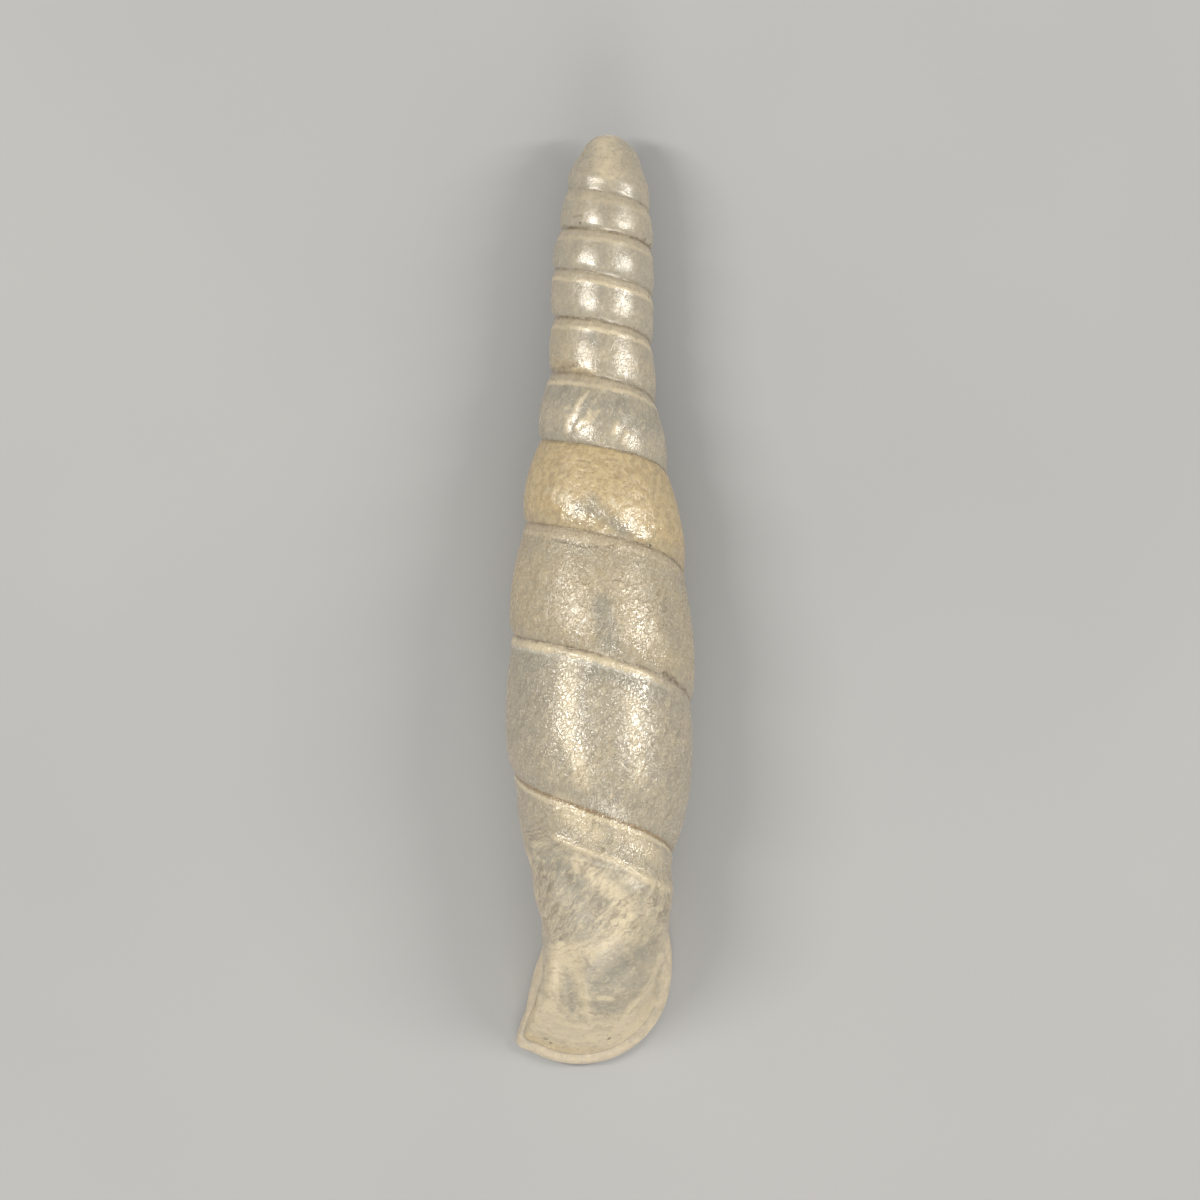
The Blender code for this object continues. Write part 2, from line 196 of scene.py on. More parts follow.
# The thread under the suture, the ridge at the lower edge of the band, and the groove along the suture.
# Each wanders and swells with a noise: how many to a millimetre, its offset, and its shares.
THREAD_HEIGHT = 0.028
THREAD_BELOW = 0.10
THREAD_HALF_WIDTH = 0.07
THREAD_SWELLS = 0.5
THREAD_WANDERS = 0.25
RIDGE_HEIGHT = 0.014
RIDGE_HALF_WIDTH = 0.035
RIDGE_WANDERS = 0.35
GROOVE_DEPTH = 0.022
GROOVE_HALF_WIDTH = 0.035
BAND_EDGE = 0.19
RAGGED_NOISE = (3.0, 41.0)

# How strong the thread, the pale band, its ridge, the suture's groove with its painted shade and the golden
# line are after some turns
THREAD_BY_TURN = (
    (0, 0.0), (2, 0.10), (5, 0.15), (7, 0.20), (7.7, 0.4), (7.95, 1.0), (8.33, 1.1), (8.40, 0.15),
    (8.9, 0.10), (9.0, 0.30), (9.5, 0.30), (10, 0.2),
)
BAND_BY_TURN = (
    (0, 0.0), (1, 0.20), (2, 0.30), (3, 0.40), (4, 0.40), (5, 0.45), (5.5, 0.35), (5.9, 0.05), (6.6, 0.0),
    (6.95, 0.6), (7.4, 0.45), (7.8, 0.6), (8, 1.0), (8.33, 1.0), (8.40, 0.1), (8.8, 0.0), (10, 0.0),
)
RIDGE_BY_TURN = (
    (0, 0.0), (1, 0.25), (2, 0.5), (3, 0.9), (4, 1.0), (5, 1.0), (5.5, 0.8), (5.9, 0.1), (6.7, 0.0),
    (7, 0.5), (7.5, 0.2), (7.9, 0.0), (10, 0.0),
)
GROOVE_AND_SHADE_BY_TURN = (
    (0, 0.0), (1, 0.35), (1.5, 0.5), (2, 0.9), (2.5, 0.9), (3, 0.55), (3.5, 0.6), (4, 0.85), (4.5, 0.6),
    (5, 0.7), (5.5, 0.7), (6, 0.7), (6.5, 0.5), (7, 0.35), (7.5, 0.8), (8, 0.8), (8.5, 0.6), (9, 0.5),
    (10, 0.5),
)
GOLD_BY_TURN = ((0, 0.0), (8.6, 0.0), (8.95, 1.0), (9.5, 1.0), (10, 0.4))

# How golden the skin is after some turns
OCHRE_BY_TURN = (
    (0, 0.0), (3.7, 0.0), (4.0, 0.30), (4.5, 0.22), (4.9, 0.10), (5.4, 0.05), (5.8, 0.50), (6.0, 0.95),
    (6.6, 1.0), (6.9, 0.65), (7.1, 0.42), (7.5, 0.36), (7.8, 0.10), (8.1, 0.0), (10, 0.0),
)

# How grey it is after some turns
GREY_BY_TURN = ((0, 0.0), (7.2, 0.0), (7.7, 0.24), (8.7, 0.24), (9.0, 0.0), (10, 0.0))

# Wrinkles along the growth lines (height, how many to a millimetre across and down), the noise that makes
# them rise and fade, and where they set in: millimetres from the suture above and below, and turns
WRINKLES = ((0.006, 4.5, 0.9), (0.0035, 10.0, 2.2))
WRINKLE_NOISE = (0.9, 57.0)
WRINKLE_OFFSET = 11.0
WRINKLES_BELOW = (0.03, 0.22)
WRINKLES_ABOVE = (0.0, 0.15)
WRINKLES_FROM = (0.5, 3.0)

# Unevenness of the skin: height, how many to a millimetre, and the noise's offset
UNEVENNESS = ((0.018, 1.1, 3.0), (0.007, 3.1, 10.0))

# Growth lines lean: how far round they move for each millimetre down the whorl
GROWTH_LEAN = 0.5

# On the back of the last whorl the growth lines spread from a far point (right, along). They set in below
# the suture and round the sides, and end along the shell, where those of the neck set in.
FAN_PIVOT = (-2.8, 18.2)
FAN_BELOW = (0.3, 1.3)
FAN_SIDES = (-0.2, 0.3)
FAN_ENDS = (15.30, 16.40)
FAN_START = 1.0
FAN_SPREAD = 4.0
NECK_LINES_FROM = (0.05, 0.6)
NECK_GROWTH = 4.4
NECK_GROWTH_STEP = 1.4

# Marks on the back: strength, half width, and a route of (right, along) places. Among the pale and ochre
# strokes are painted highlights, and among the grey ones painted shade.
PALE_STROKES_AND_PAINTED_HIGHLIGHTS = (
    (0.85, 0.19, ((-0.42, 14.06), (0.00, 14.38), (0.42, 14.78), (0.44, 15.10))),
    (0.75, 0.25, ((0.44, 15.10), (0.30, 15.40), (-0.04, 15.72), (-0.50, 15.78), (-0.74, 15.95))),
    (0.5, 0.18, ((0.73, 14.24), (1.06, 14.50))),
    (0.3, 0.25, ((0.90, 14.89), (0.80, 15.30), (0.60, 15.50))),
    (1.0, 0.10, ((-0.84, 15.72), (-0.88, 16.30), (-0.95, 17.05))),
    (0.7, 0.12, ((-0.52, 15.95), (-0.36, 16.45), (-0.27, 16.96))),
    (1.0, 0.32, ((-1.10, 17.20), (-0.40, 17.42), (0.40, 17.36), (0.95, 17.00))),
    (0.4, 0.40, ((-0.90, 16.00), (-1.00, 17.00))),
    (1.0, 0.10, ((1.20, 15.90), (1.00, 16.40), (0.64, 16.95), (0.58, 17.02))),
    # Painted highlight: a small glint on the neck
    (1.0, 0.05, ((-0.04, 16.68), (0.22, 16.70))),
    (1.0, 0.13, ((-0.80, 12.82), (-0.60, 12.98))),
    (0.8, 0.25, ((-0.65, 13.05), (-0.10, 13.50))),
    # Painted highlight: the tip lightened as if lit
    (0.6, 0.35, ((0.05, 0.10), (0.12, 0.75))),
    (0.7, 0.22, ((0.42, 13.45), (1.05, 13.92))),
    (0.9, 0.07, ((-0.89, 13.56), (-0.44, 13.77), (0.33, 14.02), (0.95, 14.41), (1.31, 14.60))),
    # The next two paint the highlight columns of the left and the right lamp on the last whorl
    (0.75, 0.22, ((-0.62, 10.25), (-0.62, 11.60), (-0.30, 12.50))),
    (0.65, 0.20, ((0.60, 10.90), (0.75, 12.40))),
    # The next five paint glints of the lamps on and beside the golden whorl
    (0.8, 0.09, ((-0.66, 7.00), (-0.56, 7.26))),
    (0.7, 0.06, ((-0.38, 7.36), (-0.32, 7.39))),
    (0.7, 0.08, ((0.20, 7.06), (0.33, 7.24))),
    (0.9, 0.07, ((0.48, 7.36), (0.74, 7.62), (0.90, 7.73))),
    (0.5, 0.08, ((0.55, 5.98), (0.75, 6.06))),
)
GREY_STROKES_AND_PAINTED_SHADE = (
    # The next six lie in the dents and hollows of the neck: their grey is partly the shell's own and partly
    # painted shade, the first of them the shade under the palatal fold
    (0.9, 0.25, ((-0.98, 14.00), (-0.60, 14.26), (-0.38, 14.60))),
    (0.5, 0.30, ((-0.95, 14.60), (-0.55, 15.00))),
    (0.9, 0.10, ((-0.64, 16.10), (-0.60, 16.50), (-0.54, 16.95))),
    (0.9, 0.19, ((0.95, 15.75), (0.50, 16.02), (-0.05, 16.45))),
    (0.8, 0.15, ((-0.12, 16.86), (0.42, 16.90))),
    (0.5, 0.19, ((1.06, 16.24), (0.77, 16.53))),
    (0.6, 0.39, ((-0.77, 5.04), (0.00, 5.23), (0.87, 5.62))),
    (1.0, 0.27, ((0.02, 9.10), (0.18, 9.80))),
    (0.5, 0.25, ((1.25, 9.15), (1.42, 9.85))),
    (0.4, 0.17, ((-0.19, 10.28), (0.60, 10.55))),
    (0.5, 0.19, ((-0.19, 12.62), (0.97, 13.02))),
    (0.8, 0.20, ((-0.55, 7.22), (-0.15, 7.30), (0.15, 7.40), (0.45, 7.66))),
    (0.6, 0.14, ((-0.20, 6.98), (-0.10, 7.15))),
    (0.5, 0.15, ((0.00, 2.10), (0.06, 2.44))),
    (0.5, 0.14, ((0.00, 2.92), (0.06, 3.25))),
    (0.7, 0.13, ((-0.20, 3.84), (-0.10, 4.05))),
    (0.5, 0.15, ((0.00, 1.45), (0.10, 1.65))),
    (0.3, 0.40, ((-1.36, 10.93), (-1.40, 11.90))),
)
OCHRE_STROKES = (
    # Painted highlight: the warm glow of the left lamp on the last whorl
    (0.35, 0.20, ((-0.62, 10.20), (-0.62, 10.90))),
    (0.6, 0.15, ((-1.40, 17.45), (-1.00, 17.66), (-0.48, 17.76), (0.19, 17.80))),
    (0.4, 0.08, ((1.33, 16.05), (1.31, 16.73))),
    (0.6, 0.08, ((-1.25, 16.50), (-1.28, 17.20))),
    (0.5, 0.15, ((-0.90, 4.45), (-0.20, 4.62))),
)

# Thin brown creases on the back: strength, half width, start and end as (right, along). The one from (-0.50,
# 14.02) is painted shadow under the palatal fold, and the one from (-0.20, 16.98) painted shade at the step
# above the lip.
CREASES = (
    (0.68, 0.022, (-0.87, 7.84), (-0.30, 7.98)), (0.68, 0.020, (-0.30, 7.98), (0.25, 7.96)),
    (0.45, 0.020, (-0.30, 8.70), (0.15, 8.62)), (0.45, 0.020, (0.15, 8.62), (0.52, 8.64)),
    (0.38, 0.022, (-0.43, 6.30), (-0.20, 6.34)), (0.38, 0.020, (0.05, 6.28), (0.36, 6.30)),
    (0.45, 0.018, (-0.14, 11.95), (-0.42, 12.60)), (0.38, 0.016, (-0.02, 12.05), (-0.26, 12.62)),
    (0.45, 0.018, (0.98, 11.95), (0.72, 12.52)), (0.30, 0.016, (0.80, 11.80), (0.62, 12.30)),
    (1.0, 0.045, (1.24, 10.42), (1.40, 10.52)), (1.0, 0.028, (1.40, 10.52), (1.64, 10.74)),
    (0.45, 0.024, (-0.50, 14.02), (-0.05, 14.14)), (0.45, 0.020, (-0.50, 1.60), (-0.36, 1.57)),
    (0.45, 0.030, (-1.26, 16.50), (-1.30, 17.00)), (0.45, 0.024, (-0.20, 16.98), (0.18, 17.02)),
    (0.38, 0.020, (0.55, 17.02), (0.95, 16.60)), (0.52, 0.040, (-0.92, 4.56), (-0.45, 4.47)),
)
CREASE_HEIGHT = (1.0, 1.6)

# Pale pleats that stand up along the growth lines of the back: strength, half width, and a route. The two at
# -0.66 and -0.46 mm right stand where highlights lie, and their pale paint is partly painted highlight.
PLEATS_AND_PAINTED_HIGHLIGHTS = (
    (0.9, 0.055, ((-0.56, 5.51), (-0.29, 4.98))), (0.8, 0.045, ((-0.46, 5.22), (-0.24, 4.96))),
    (0.9, 0.055, ((-0.29, 5.58), (-0.20, 5.38))), (0.7, 0.050, ((-0.20, 5.58), (-0.02, 5.34))),
    (0.5, 0.045, ((-0.11, 5.18), (0.07, 4.91))), (1.0, 0.060, ((-0.46, 5.70), (-0.35, 5.54))),
    (0.9, 0.055, ((0.25, 5.78), (0.31, 5.60))), (0.9, 0.060, ((0.42, 5.96), (0.53, 5.78))),
    (0.8, 0.055, ((-0.66, 5.76), (-0.64, 5.46))), (0.6, 0.060, ((-0.68, 5.30), (-0.60, 5.26))),
    (0.7, 0.050, ((-1.05, 6.95), (-0.98, 6.82))), (0.7, 0.045, ((-0.95, 7.08), (-0.86, 6.84))),
    (0.7, 0.045, ((-0.82, 7.16), (-0.74, 6.95))), (0.7, 0.045, ((0.30, 15.37), (0.58, 15.10))),
)
PLEAT_HEIGHT = 0.024

# Dusky grooves between the growth lines of the neck: strength, half width, and a route
STRIAE = (
    (0.9, 0.040, ((-0.56, 15.41), (0.08, 14.77))), (0.9, 0.040, ((-0.39, 15.43), (0.25, 14.72))),
    (0.8, 0.035, ((-0.04, 15.53), (0.42, 14.89))), (0.7, 0.035, ((-0.68, 15.18), (-0.33, 14.77))),
    (0.7, 0.035, ((-0.62, 15.32), (-0.10, 14.74))), (0.6, 0.035, ((-0.20, 15.46), (0.30, 14.86))),
    (0.5, 0.035, ((0.10, 15.56), (0.60, 15.02))),
)
STRIA_DEPTH = 0.010

# Small dark stains on the back: right, along, half size, strength
STAINS = (
    (0.87, 2.03, 0.040, 0.8), (0.98, 2.14, 0.040, 0.9), (-0.68, 1.77, 0.028, 0.7),
    (-0.38, 1.72, 0.034, 0.8), (-1.68, 9.62, 0.031, 0.9), (-0.75, 15.53, 0.048, 0.6),
    (-1.06, 17.53, 0.055, 0.9), (-0.96, 17.59, 0.045, 0.8), (0.18, 17.50, 0.050, 0.9),
    (0.15, 17.43, 0.025, 0.7), (0.97, 5.04, 0.039, 0.5), (-1.47, 12.44, 0.039, 0.6),
    (0.97, 7.94, 0.039, 0.9), (0.21, 9.98, 0.022, 0.6), (1.02, 8.06, 0.025, 0.5),
)
NEAR_STAIN = 0.08

# The skin is smoother on the first turns and wrinkled after these, with pale and dusky streaks on some
FIRST_GRAIN = 0.35
GRAIN_FROM = (1.5, 5.0)
STREAKS_BY_TURN = (
    (0, 0.0), (2, 0.3), (4, 0.5), (4.8, 1.0), (5.6, 1.0), (6.0, 0.4), (7, 0.6), (8, 0.8), (9, 1.0),
)

# How much calmer the streaks of the neck, the grain near the lip, and the relief and grain of the mouth
# side's seam are, and where the calm sets in: a share of the neck, an angle and a place along the shell
NECK_CALM = 0.6
NECK_CALM_FROM = (0.0, 0.2)
LIP_CALM = 0.4
LIP_CALM_FROM = (0.7, 1.0)
RELIEF_ENDS = (0.75, 1.0)
SEAM_CALM = 0.8
SEAM_CALM_ROUND = (0.05, 0.4)
SEAM_CALM_ALONG = (14.8, 15.2)

# How finely the skin is cut, and how blunt the tip is
TIP_BLUNTNESS = 0.8
COLUMNS = 200
ROWS = 30
ROWS_CROWDED = 0.75
TIP_RINGS = 12
WHORL_RINGS = 60
WHORL_RINGS_CROWDED = 1.25
NECK_RINGS = 60
LIP_RINGS = 18
LINING_RINGS = 20
DOME_RINGS = 8
RIM_FADE = 6
SOFTEN_REACH = 7.0
SOFTEN_ROUNDS = 60
FAR = 5.0
TINY = 1e-9
WELD = 1e-7

# The studio, in metres. Each lamp has a name, the direction towards it, its strength and its width.
FLOOR_SIZE = 0.6
FLOOR_GAP = 0.00002
LAMPS = (
    ("left_lamp", (-0.57, 0.15, 0.82), 0.054, 0.014),
    ("right_lamp", (0.73, 0.14, 0.68), 0.048, 0.011),
    ("foot_lamp", (0.05, -0.85, 0.53), 0.038, 0.060),
)
LAMP_DISTANCE = 0.12
LAMP_LENGTH = 0.060
LAMP_COLOUR = (1.0, 0.95, 0.85)
ROOM_COLOUR = (1.0, 0.97, 0.92, 1.0)
ROOM_STRENGTH = 0.515

# The camera's lens, sensor and nearest sight, and the width of the photograph in millimetres
CAMERA_LENS = 600
CAMERA_SENSOR = 36
CAMERA_CLIP = 0.005
PHOTO_WIDTH = 23.18


def mix(low, high, share):
    """Values or points between two others."""
    return low + (high - low) * share


def curve_through(points, at):
    """Heights of the smooth curve through the listed points, at each of some places."""
    places = np.array([point[0] for point in points], float)
    heights = np.array([point[1] for point in points], float)
    slopes = np.gradient(heights, places)
    slopes[1:-1] = (heights[2:] - heights[:-2]) / (places[2:] - places[:-2])
    at = np.clip(at, places[0], places[-1])
    left = np.clip(np.searchsorted(places, at, side="right") - 1, 0, len(places) - 2)
    step = places[left + 1] - places[left]
    part = (at - places[left]) / step
    return (
        heights[left] * (2 * part**3 - 3 * part**2 + 1)
        + slopes[left] * step * (part**3 - 2 * part**2 + part)
        + heights[left + 1] * (3 * part**2 - 2 * part**3)
        + slopes[left + 1] * step * (part**3 - part**2)
    )


def smooth_share(low, high, at):
    """0 below low, 1 over high and smooth between."""
    share = np.clip((at - low) / (high - low), 0.0, 1.0)
    return share * share * (3 - 2 * share)


def bell(distance, width):
    """1 at no distance, fading out over the width."""
    return np.exp(-((distance / width) ** 2))


def by_half_turns(left, right):
    """Curve of the values listed for the left and the right edge of the shell."""
    pairs = [(float(turn), value) for turn, value in enumerate(left)]
    return sorted(pairs + [(turn + 0.5, value) for turn, value in enumerate(right)])


SUTURE = by_half_turns(SUTURE_LEFT, SUTURE_RIGHT)
NOTCH = by_half_turns(NOTCH_LEFT, NOTCH_RIGHT)
CREST = by_half_turns(CREST_LEFT, CREST_RIGHT)
LAST_SUTURE = SUTURE_LEFT[STRIP_TURNS + 1]
LAST_WHORL_HEIGHT = LAST_SUTURE - SUTURE_LEFT[STRIP_TURNS]


def suture_at(turn):
    """Places of the suture along the shell after so many turns."""
    return curve_through(SUTURE, turn) - curve_through(SUTURE_BOW, turn) * np.sin(math.tau * turn)


def notch_depth(turn):
    """Depth of the crease under the smooth outline of the last whorl."""
    return curve_through(LAST_RADIUS, suture_at(turn)) - curve_through(NOTCH, turn)


def under_suture(share):
    """Part of the crease's depth at a share of a whorl's height under a suture."""
    return np.maximum(1 - share / CREASE_DOWN, 0.0) ** 2


def over_suture(share):
    """Part of the crease's depth at a share of a whorl's height over a suture."""
    near = np.clip(1 - share / CREASE_UP, 0.0, 1.0)
    return 1 - np.sqrt(1 - near**2)


def round_radius(turn, share):
    """Radius of a rounded whorl between two sutures, at a share of its height."""
    crest = curve_through(CREST, turn)
    crest_at = curve_through(CREST_AT, turn)
    above = np.clip(1 - share / crest_at, 0.0, 1.0) ** ROUND_ABOVE
    below = np.clip((share - crest_at) / (1 - crest_at), 0.0, 1.0) ** ROUND_BELOW
    upper = mix(crest, curve_through(NOTCH, turn), above)
    return np.where(share < crest_at, upper, mix(crest, curve_through(NOTCH, turn + 1), below))


def strip_radius(turn, share):
    """Radius of the coiled strip, whose last turns pass into the outline of the last whorl."""
    along = mix(suture_at(turn), suture_at(turn + 1), share)
    late = curve_through(LAST_RADIUS, along) - notch_depth(turn) * under_suture(share)
    late = late - notch_depth(turn + 1) * over_suture(1 - share)
    return mix(round_radius(turn, share), late, smooth_share(LAST_FROM_TURN, STRIP_TURNS, turn))


def on_shell(along, angle, radius):
    """Points of the skin at these places, angles and radii."""
    height = AXIS_HEIGHT + AXIS_CLIMB * (along - AXIS_HEIGHT_AT)
    flattened = BACK_FLATTENED * smooth_share(BACK_FLATTENED_FROM, BACK_FLATTENED_TO, along)
    right = curve_through(STRAY, along) - radius * np.cos(angle)
    up = height + radius * np.sin(angle) * (1 - flattened * np.maximum(np.sin(angle), 0.0))
    return np.stack([right, SHELL_LENGTH / 2 - along, up], axis=-1)


def way_to_route(right, along, route):
    """Shortest distances from places on the back to a route of straight runs."""
    nearest = np.full(np.shape(right), math.inf)
    for (x0, y0), (x1, y1) in zip(route, route[1:]):
        run_x, run_y = x1 - x0, y1 - y0
        part = ((right - x0) * run_x + (along - y0) * run_y) / (run_x**2 + run_y**2)
        part = np.clip(part, 0.0, 1.0)
        nearest = np.minimum(nearest, np.hypot(right - x0 - part * run_x, along - y0 - part * run_y))
    return nearest


def over_routes(right, along, strokes):
    """How much each of some strokes reaches these places of the back, as strength or height."""
    return [strength * bell(way_to_route(right, along, route), width) for strength, width, route in strokes]


def on_back(angle):
    """1 on the back and 0 on the side that lies on the floor."""
    return smooth_share(0.0, FOLDS_FADE, np.sin(angle))


def fold_rise(right, along):
    """Height of the folds and dents over these places of the back."""
    pleats = tuple((PLEAT_HEIGHT * strength, width, route) for strength, width, route in PLEATS_AND_PAINTED_HIGHLIGHTS)
    striae = tuple((-STRIA_DEPTH * strength, width, route) for strength, width, route in STRIAE)
    return sum(over_routes(right, along, FOLDS + FINE_FOLDS + pleats + striae))


def grain_noise(points, scale, offset=0.0):
    """Smooth noise at each of some points, from about -1 to 1."""
    flat = np.reshape(points, (-1, 3)) * scale + offset
    values = [noise.noise(Vector(point)) for point in flat.tolist()]
    return np.reshape(values, np.shape(points)[:-1])


GROWTH_TURNS = np.linspace(0, STRIP_TURNS + 1, 1001)
GROWTH_STEPS = math.tau * curve_through(CREST, GROWTH_TURNS) * GROWTH_TURNS[1]
GROWTH_LENGTHS = np.cumsum(GROWTH_STEPS)


def growth_at(turn):
    """Length that the shell had grown, along its coil, after so many turns."""
    return np.interp(turn, GROWTH_TURNS, GROWTH_LENGTHS)


def at_turn(table, turn):
    """Strengths after so many turns, with straight runs between those listed."""
    return np.interp(turn, [point[0] for point in table], [point[1] for point in table])


def nearest_suture(turn, below, above):
    """The turn of the suture that is nearest to these places."""
    return np.where(above < below, turn + 1, turn)


def unevenness(points):
    """Height of the skin's shallow dents and swellings."""
    return sum(height * grain_noise(points, number, offset) for height, number, offset in UNEVENNESS)


def surface_relief(points, growth, below, above, turn):
    """Height of the thread, the groove, the growth wrinkles and the unevenness."""
    place = np.stack([growth, below, turn * 0], axis=-1)
    ragged = grain_noise(place, *RAGGED_NOISE)
    strength = at_turn(THREAD_BY_TURN, turn) * (1 + THREAD_SWELLS * ragged)
    from_thread = below - THREAD_BELOW * (1 + THREAD_WANDERS * ragged)
    thread = THREAD_HEIGHT * strength * bell(from_thread, THREAD_HALF_WIDTH)
    crack = at_turn(GROOVE_AND_SHADE_BY_TURN, nearest_suture(turn, below, above)) * (1 + ragged)
    groove = GROOVE_DEPTH * crack * bell(np.minimum(above, below), GROOVE_HALF_WIDTH)
    from_edge = below - BAND_EDGE * (1 + RIDGE_WANDERS * ragged)
    ridge = RIDGE_HEIGHT * bell(from_edge, RIDGE_HALF_WIDTH)
    ridge = ridge * at_turn(RIDGE_BY_TURN, turn) * (1 + ragged)
    wrinkles = sum(
        height * grain_noise(place * np.array((across, down, 1.0)), 1.0, WRINKLE_OFFSET * index)
        for index, (height, across, down) in enumerate(WRINKLES)
    )
    wrinkles = wrinkles * (1 + grain_noise(points, *WRINKLE_NOISE))
    free = smooth_share(*WRINKLES_BELOW, below) * smooth_share(*WRINKLES_ABOVE, above)
    free = free * smooth_share(*WRINKLES_FROM, turn)
    return thread - groove + ridge + wrinkles * free + unevenness(points)


def whorl_shares():
    """Shares of a whorl's height at which its rows lie, crowded towards both sutures."""
    even = np.linspace(0, 1, ROWS + 1)
    return even - ROWS_CROWDED * np.sin(math.tau * even) / math.tau


def strip_parts(turn, share, angle):
    """Turns, places along, gaps to both sutures and growth at these places of the coiled strip."""
    here = turn + angle / math.tau
    upper = suture_at(here)
    lower = suture_at(np.minimum(here + 1, STRIP_TURNS + 1))
    along = mix(upper, lower, share)
    below = along - upper
    above = lower - along
    return here, along, below, above, growth_at(here) + GROWTH_LEAN * below


def strip_points():
    """Points of the coiled strip: a row for each share of each turn, a column for each angle."""
    row = np.arange(STRIP_TURNS * ROWS + 1)[:, None]
    angle = np.linspace(0, math.tau, COLUMNS + 1)[None, :]
    turn = row // ROWS
    share = whorl_shares()[row % ROWS] + angle * 0
    here, along, below, above, growth = strip_parts(turn, share, angle)
    radius = strip_radius(here, share)
    smooth = on_shell(along, angle, radius)
    relief = surface_relief(smooth, growth, below, above, here)
    points = raised(on_shell(along, angle, radius + relief), angle)
    return points, angle + row * 0, (here, below, above)


def strip_corners(row, column, face_row, face_column):
    """Growth and suture maps of the strip's face corners."""
    turn = face_row // ROWS
    share = whorl_shares()[face_row % ROWS + row - face_row]
    here, along, below, above, growth = strip_parts(turn, share, column * math.tau / COLUMNS)
    return growth, below, here, above


def strip_edge(points, turn):
    """Points along the strip's first or last edge: a turn of suture, then the step to the next turn."""
    if turn == 0:
        return np.concatenate([points[0, :COLUMNS], points[ROWS:0:-1, 0]])
    return np.concatenate([points[-1, :COLUMNS], points[-1:-1 - ROWS:-1, COLUMNS]])


def edge_places(turn):
    """Angles, places along the shell and radii of the same points."""
    column = np.arange(COLUMNS)
    share = whorl_shares()[:0:-1]
    side = math.tau if turn == 0 else 0.0
    angle = np.concatenate([math.tau * column / COLUMNS, np.full(ROWS, side)])
    step = mix(suture_at(turn), suture_at(turn + 1), share)
    along = np.concatenate([suture_at(turn + column / COLUMNS), step])
    radius = np.concatenate([curve_through(NOTCH, turn + column / COLUMNS), strip_radius(turn, share)])
    return angle, along, radius


def ring_angles(turn):
    """Evenly spaced angles of a closed ring, in the order of the strip's edge."""
    count = COLUMNS + ROWS
    first = 0 if turn == 0 else ROWS
    return math.tau * ((first + np.arange(count)) % count) / count


def tip_points(strip):
    """Rings that round the spire off from the first turn of suture."""
    start_angle, start_along, start_radius = edge_places(0)
    share = np.linspace(0, 1, TIP_RINGS + 1)[:, None]
    along = start_along * (1 - share) ** 2
    angle = mix(start_angle, ring_angles(0), share)
    radius = start_radius * (1 - share) ** TIP_BLUNTNESS
    smooth = on_shell(along, angle, radius)
    points = on_shell(along, angle, radius + unevenness(smooth) * (1 - share))
    points[0] = strip_edge(strip, 0)
    return points, angle


def whorl_base(along, angle):
    """Points of the last whorl, under the last turn of the suture."""
    turn = STRIP_TURNS + angle / math.tau
    share = np.maximum(along - suture_at(turn), 0.0) / LAST_WHORL_HEIGHT
    radius = curve_through(LAST_RADIUS, along) - notch_depth(turn) * under_suture(share)
    over = over_suture(np.clip(1 - share, 0.0, 1.0))
    under = under_suture(np.maximum(share - 1, 0.0))
    end = np.where(share < 1, over, under) * (1 - smooth_share(0.0, CREASE_END_ANGLE, angle))
    return on_shell(along, angle, radius - notch_depth(STRIP_TURNS + 1) * end)


def rim_points(angle, inset, height):
    """Points of the lip, at a distance in from the rim."""
    reach = curve_through(RIM, np.degrees(angle % math.tau)) - inset
    right = -reach * np.cos(angle)
    ahead = SHELL_LENGTH / 2 - MOUTH_MIDDLE_AT - reach * np.sin(angle)
    return np.stack([right, ahead, height + reach * 0], axis=-1)


def neck_base(angle, share):
    """Points of the neck, on bent paths from the last whorl to the root of the lip."""
    front = (1 - np.sin(angle)) / 2
    start = whorl_base(curve_through(NECK_START, np.degrees(angle)), angle)
    stop = rim_points(angle, LIP_INSET[0][1], LIP_HEIGHT[0][1])
    turn = front * math.pi / 2
    way = np.stack([turn * 0, -np.cos(turn), -np.sin(turn) - NECK_FALL * (1 - front)], axis=-1)
    way = way / np.linalg.norm(way, axis=-1, keepdims=True)
    onward = way * mix(NECK_RUN_BACK, NECK_RUN_FRONT, front)[..., None]
    upward = np.array((0, NECK_LEAN, 1)) * mix(NECK_STAND_BACK, NECK_STAND_FRONT, front)[..., None]
    rest = 1 - share
    inward = np.stack([np.cos(angle), np.sin(angle), angle * 0], axis=-1)
    narrowed = NECK_WAIST * smooth_share(0.0, WAIST_BACK, 1 - front)
    near_lip = np.clip((share - WAIST_FROM) / (1 - WAIST_FROM), 0.0, 1.0)
    return (
        start * rest**3
        + (start + onward) * 3 * rest**2 * share
        + (stop + upward) * 3 * rest * share**2
        + stop * share**3
        + inward * narrowed[..., None] * FULL_WAIST * near_lip**2 * (1 - near_lip)
    )


def raised(points, angle):
    """The same points with the folds and dents of the back."""
    rise = fold_rise(points[..., 0], SHELL_LENGTH / 2 - points[..., 1]) * on_back(angle)
    return points + rise[..., None] * np.array((0, 0, 1))


def lining_points(angle, share):
    """Points of the mouth's lining, a wall's thickness inside the neck's skin, with its two blades."""
    outer = raised(neck_base(angle, share), angle)
    depth = np.full(np.shape(angle), WALL)
    ends = smooth_share(0.0, BLADE_FADE, share) * smooth_share(0.0, BLADE_FADE, 1 - share)
    for degrees, height in BLADES:
        off = np.minimum(np.abs(np.degrees(angle) - degrees) / BLADE_HALF_WIDTH, 1.0)
        depth = depth + height * ends * np.cos(off * math.pi / 2) ** 2
    inward = outer.mean(axis=0) - outer
    inward = inward / np.linalg.norm(inward, axis=-1, keepdims=True)
    return outer + inward * depth[:, None]


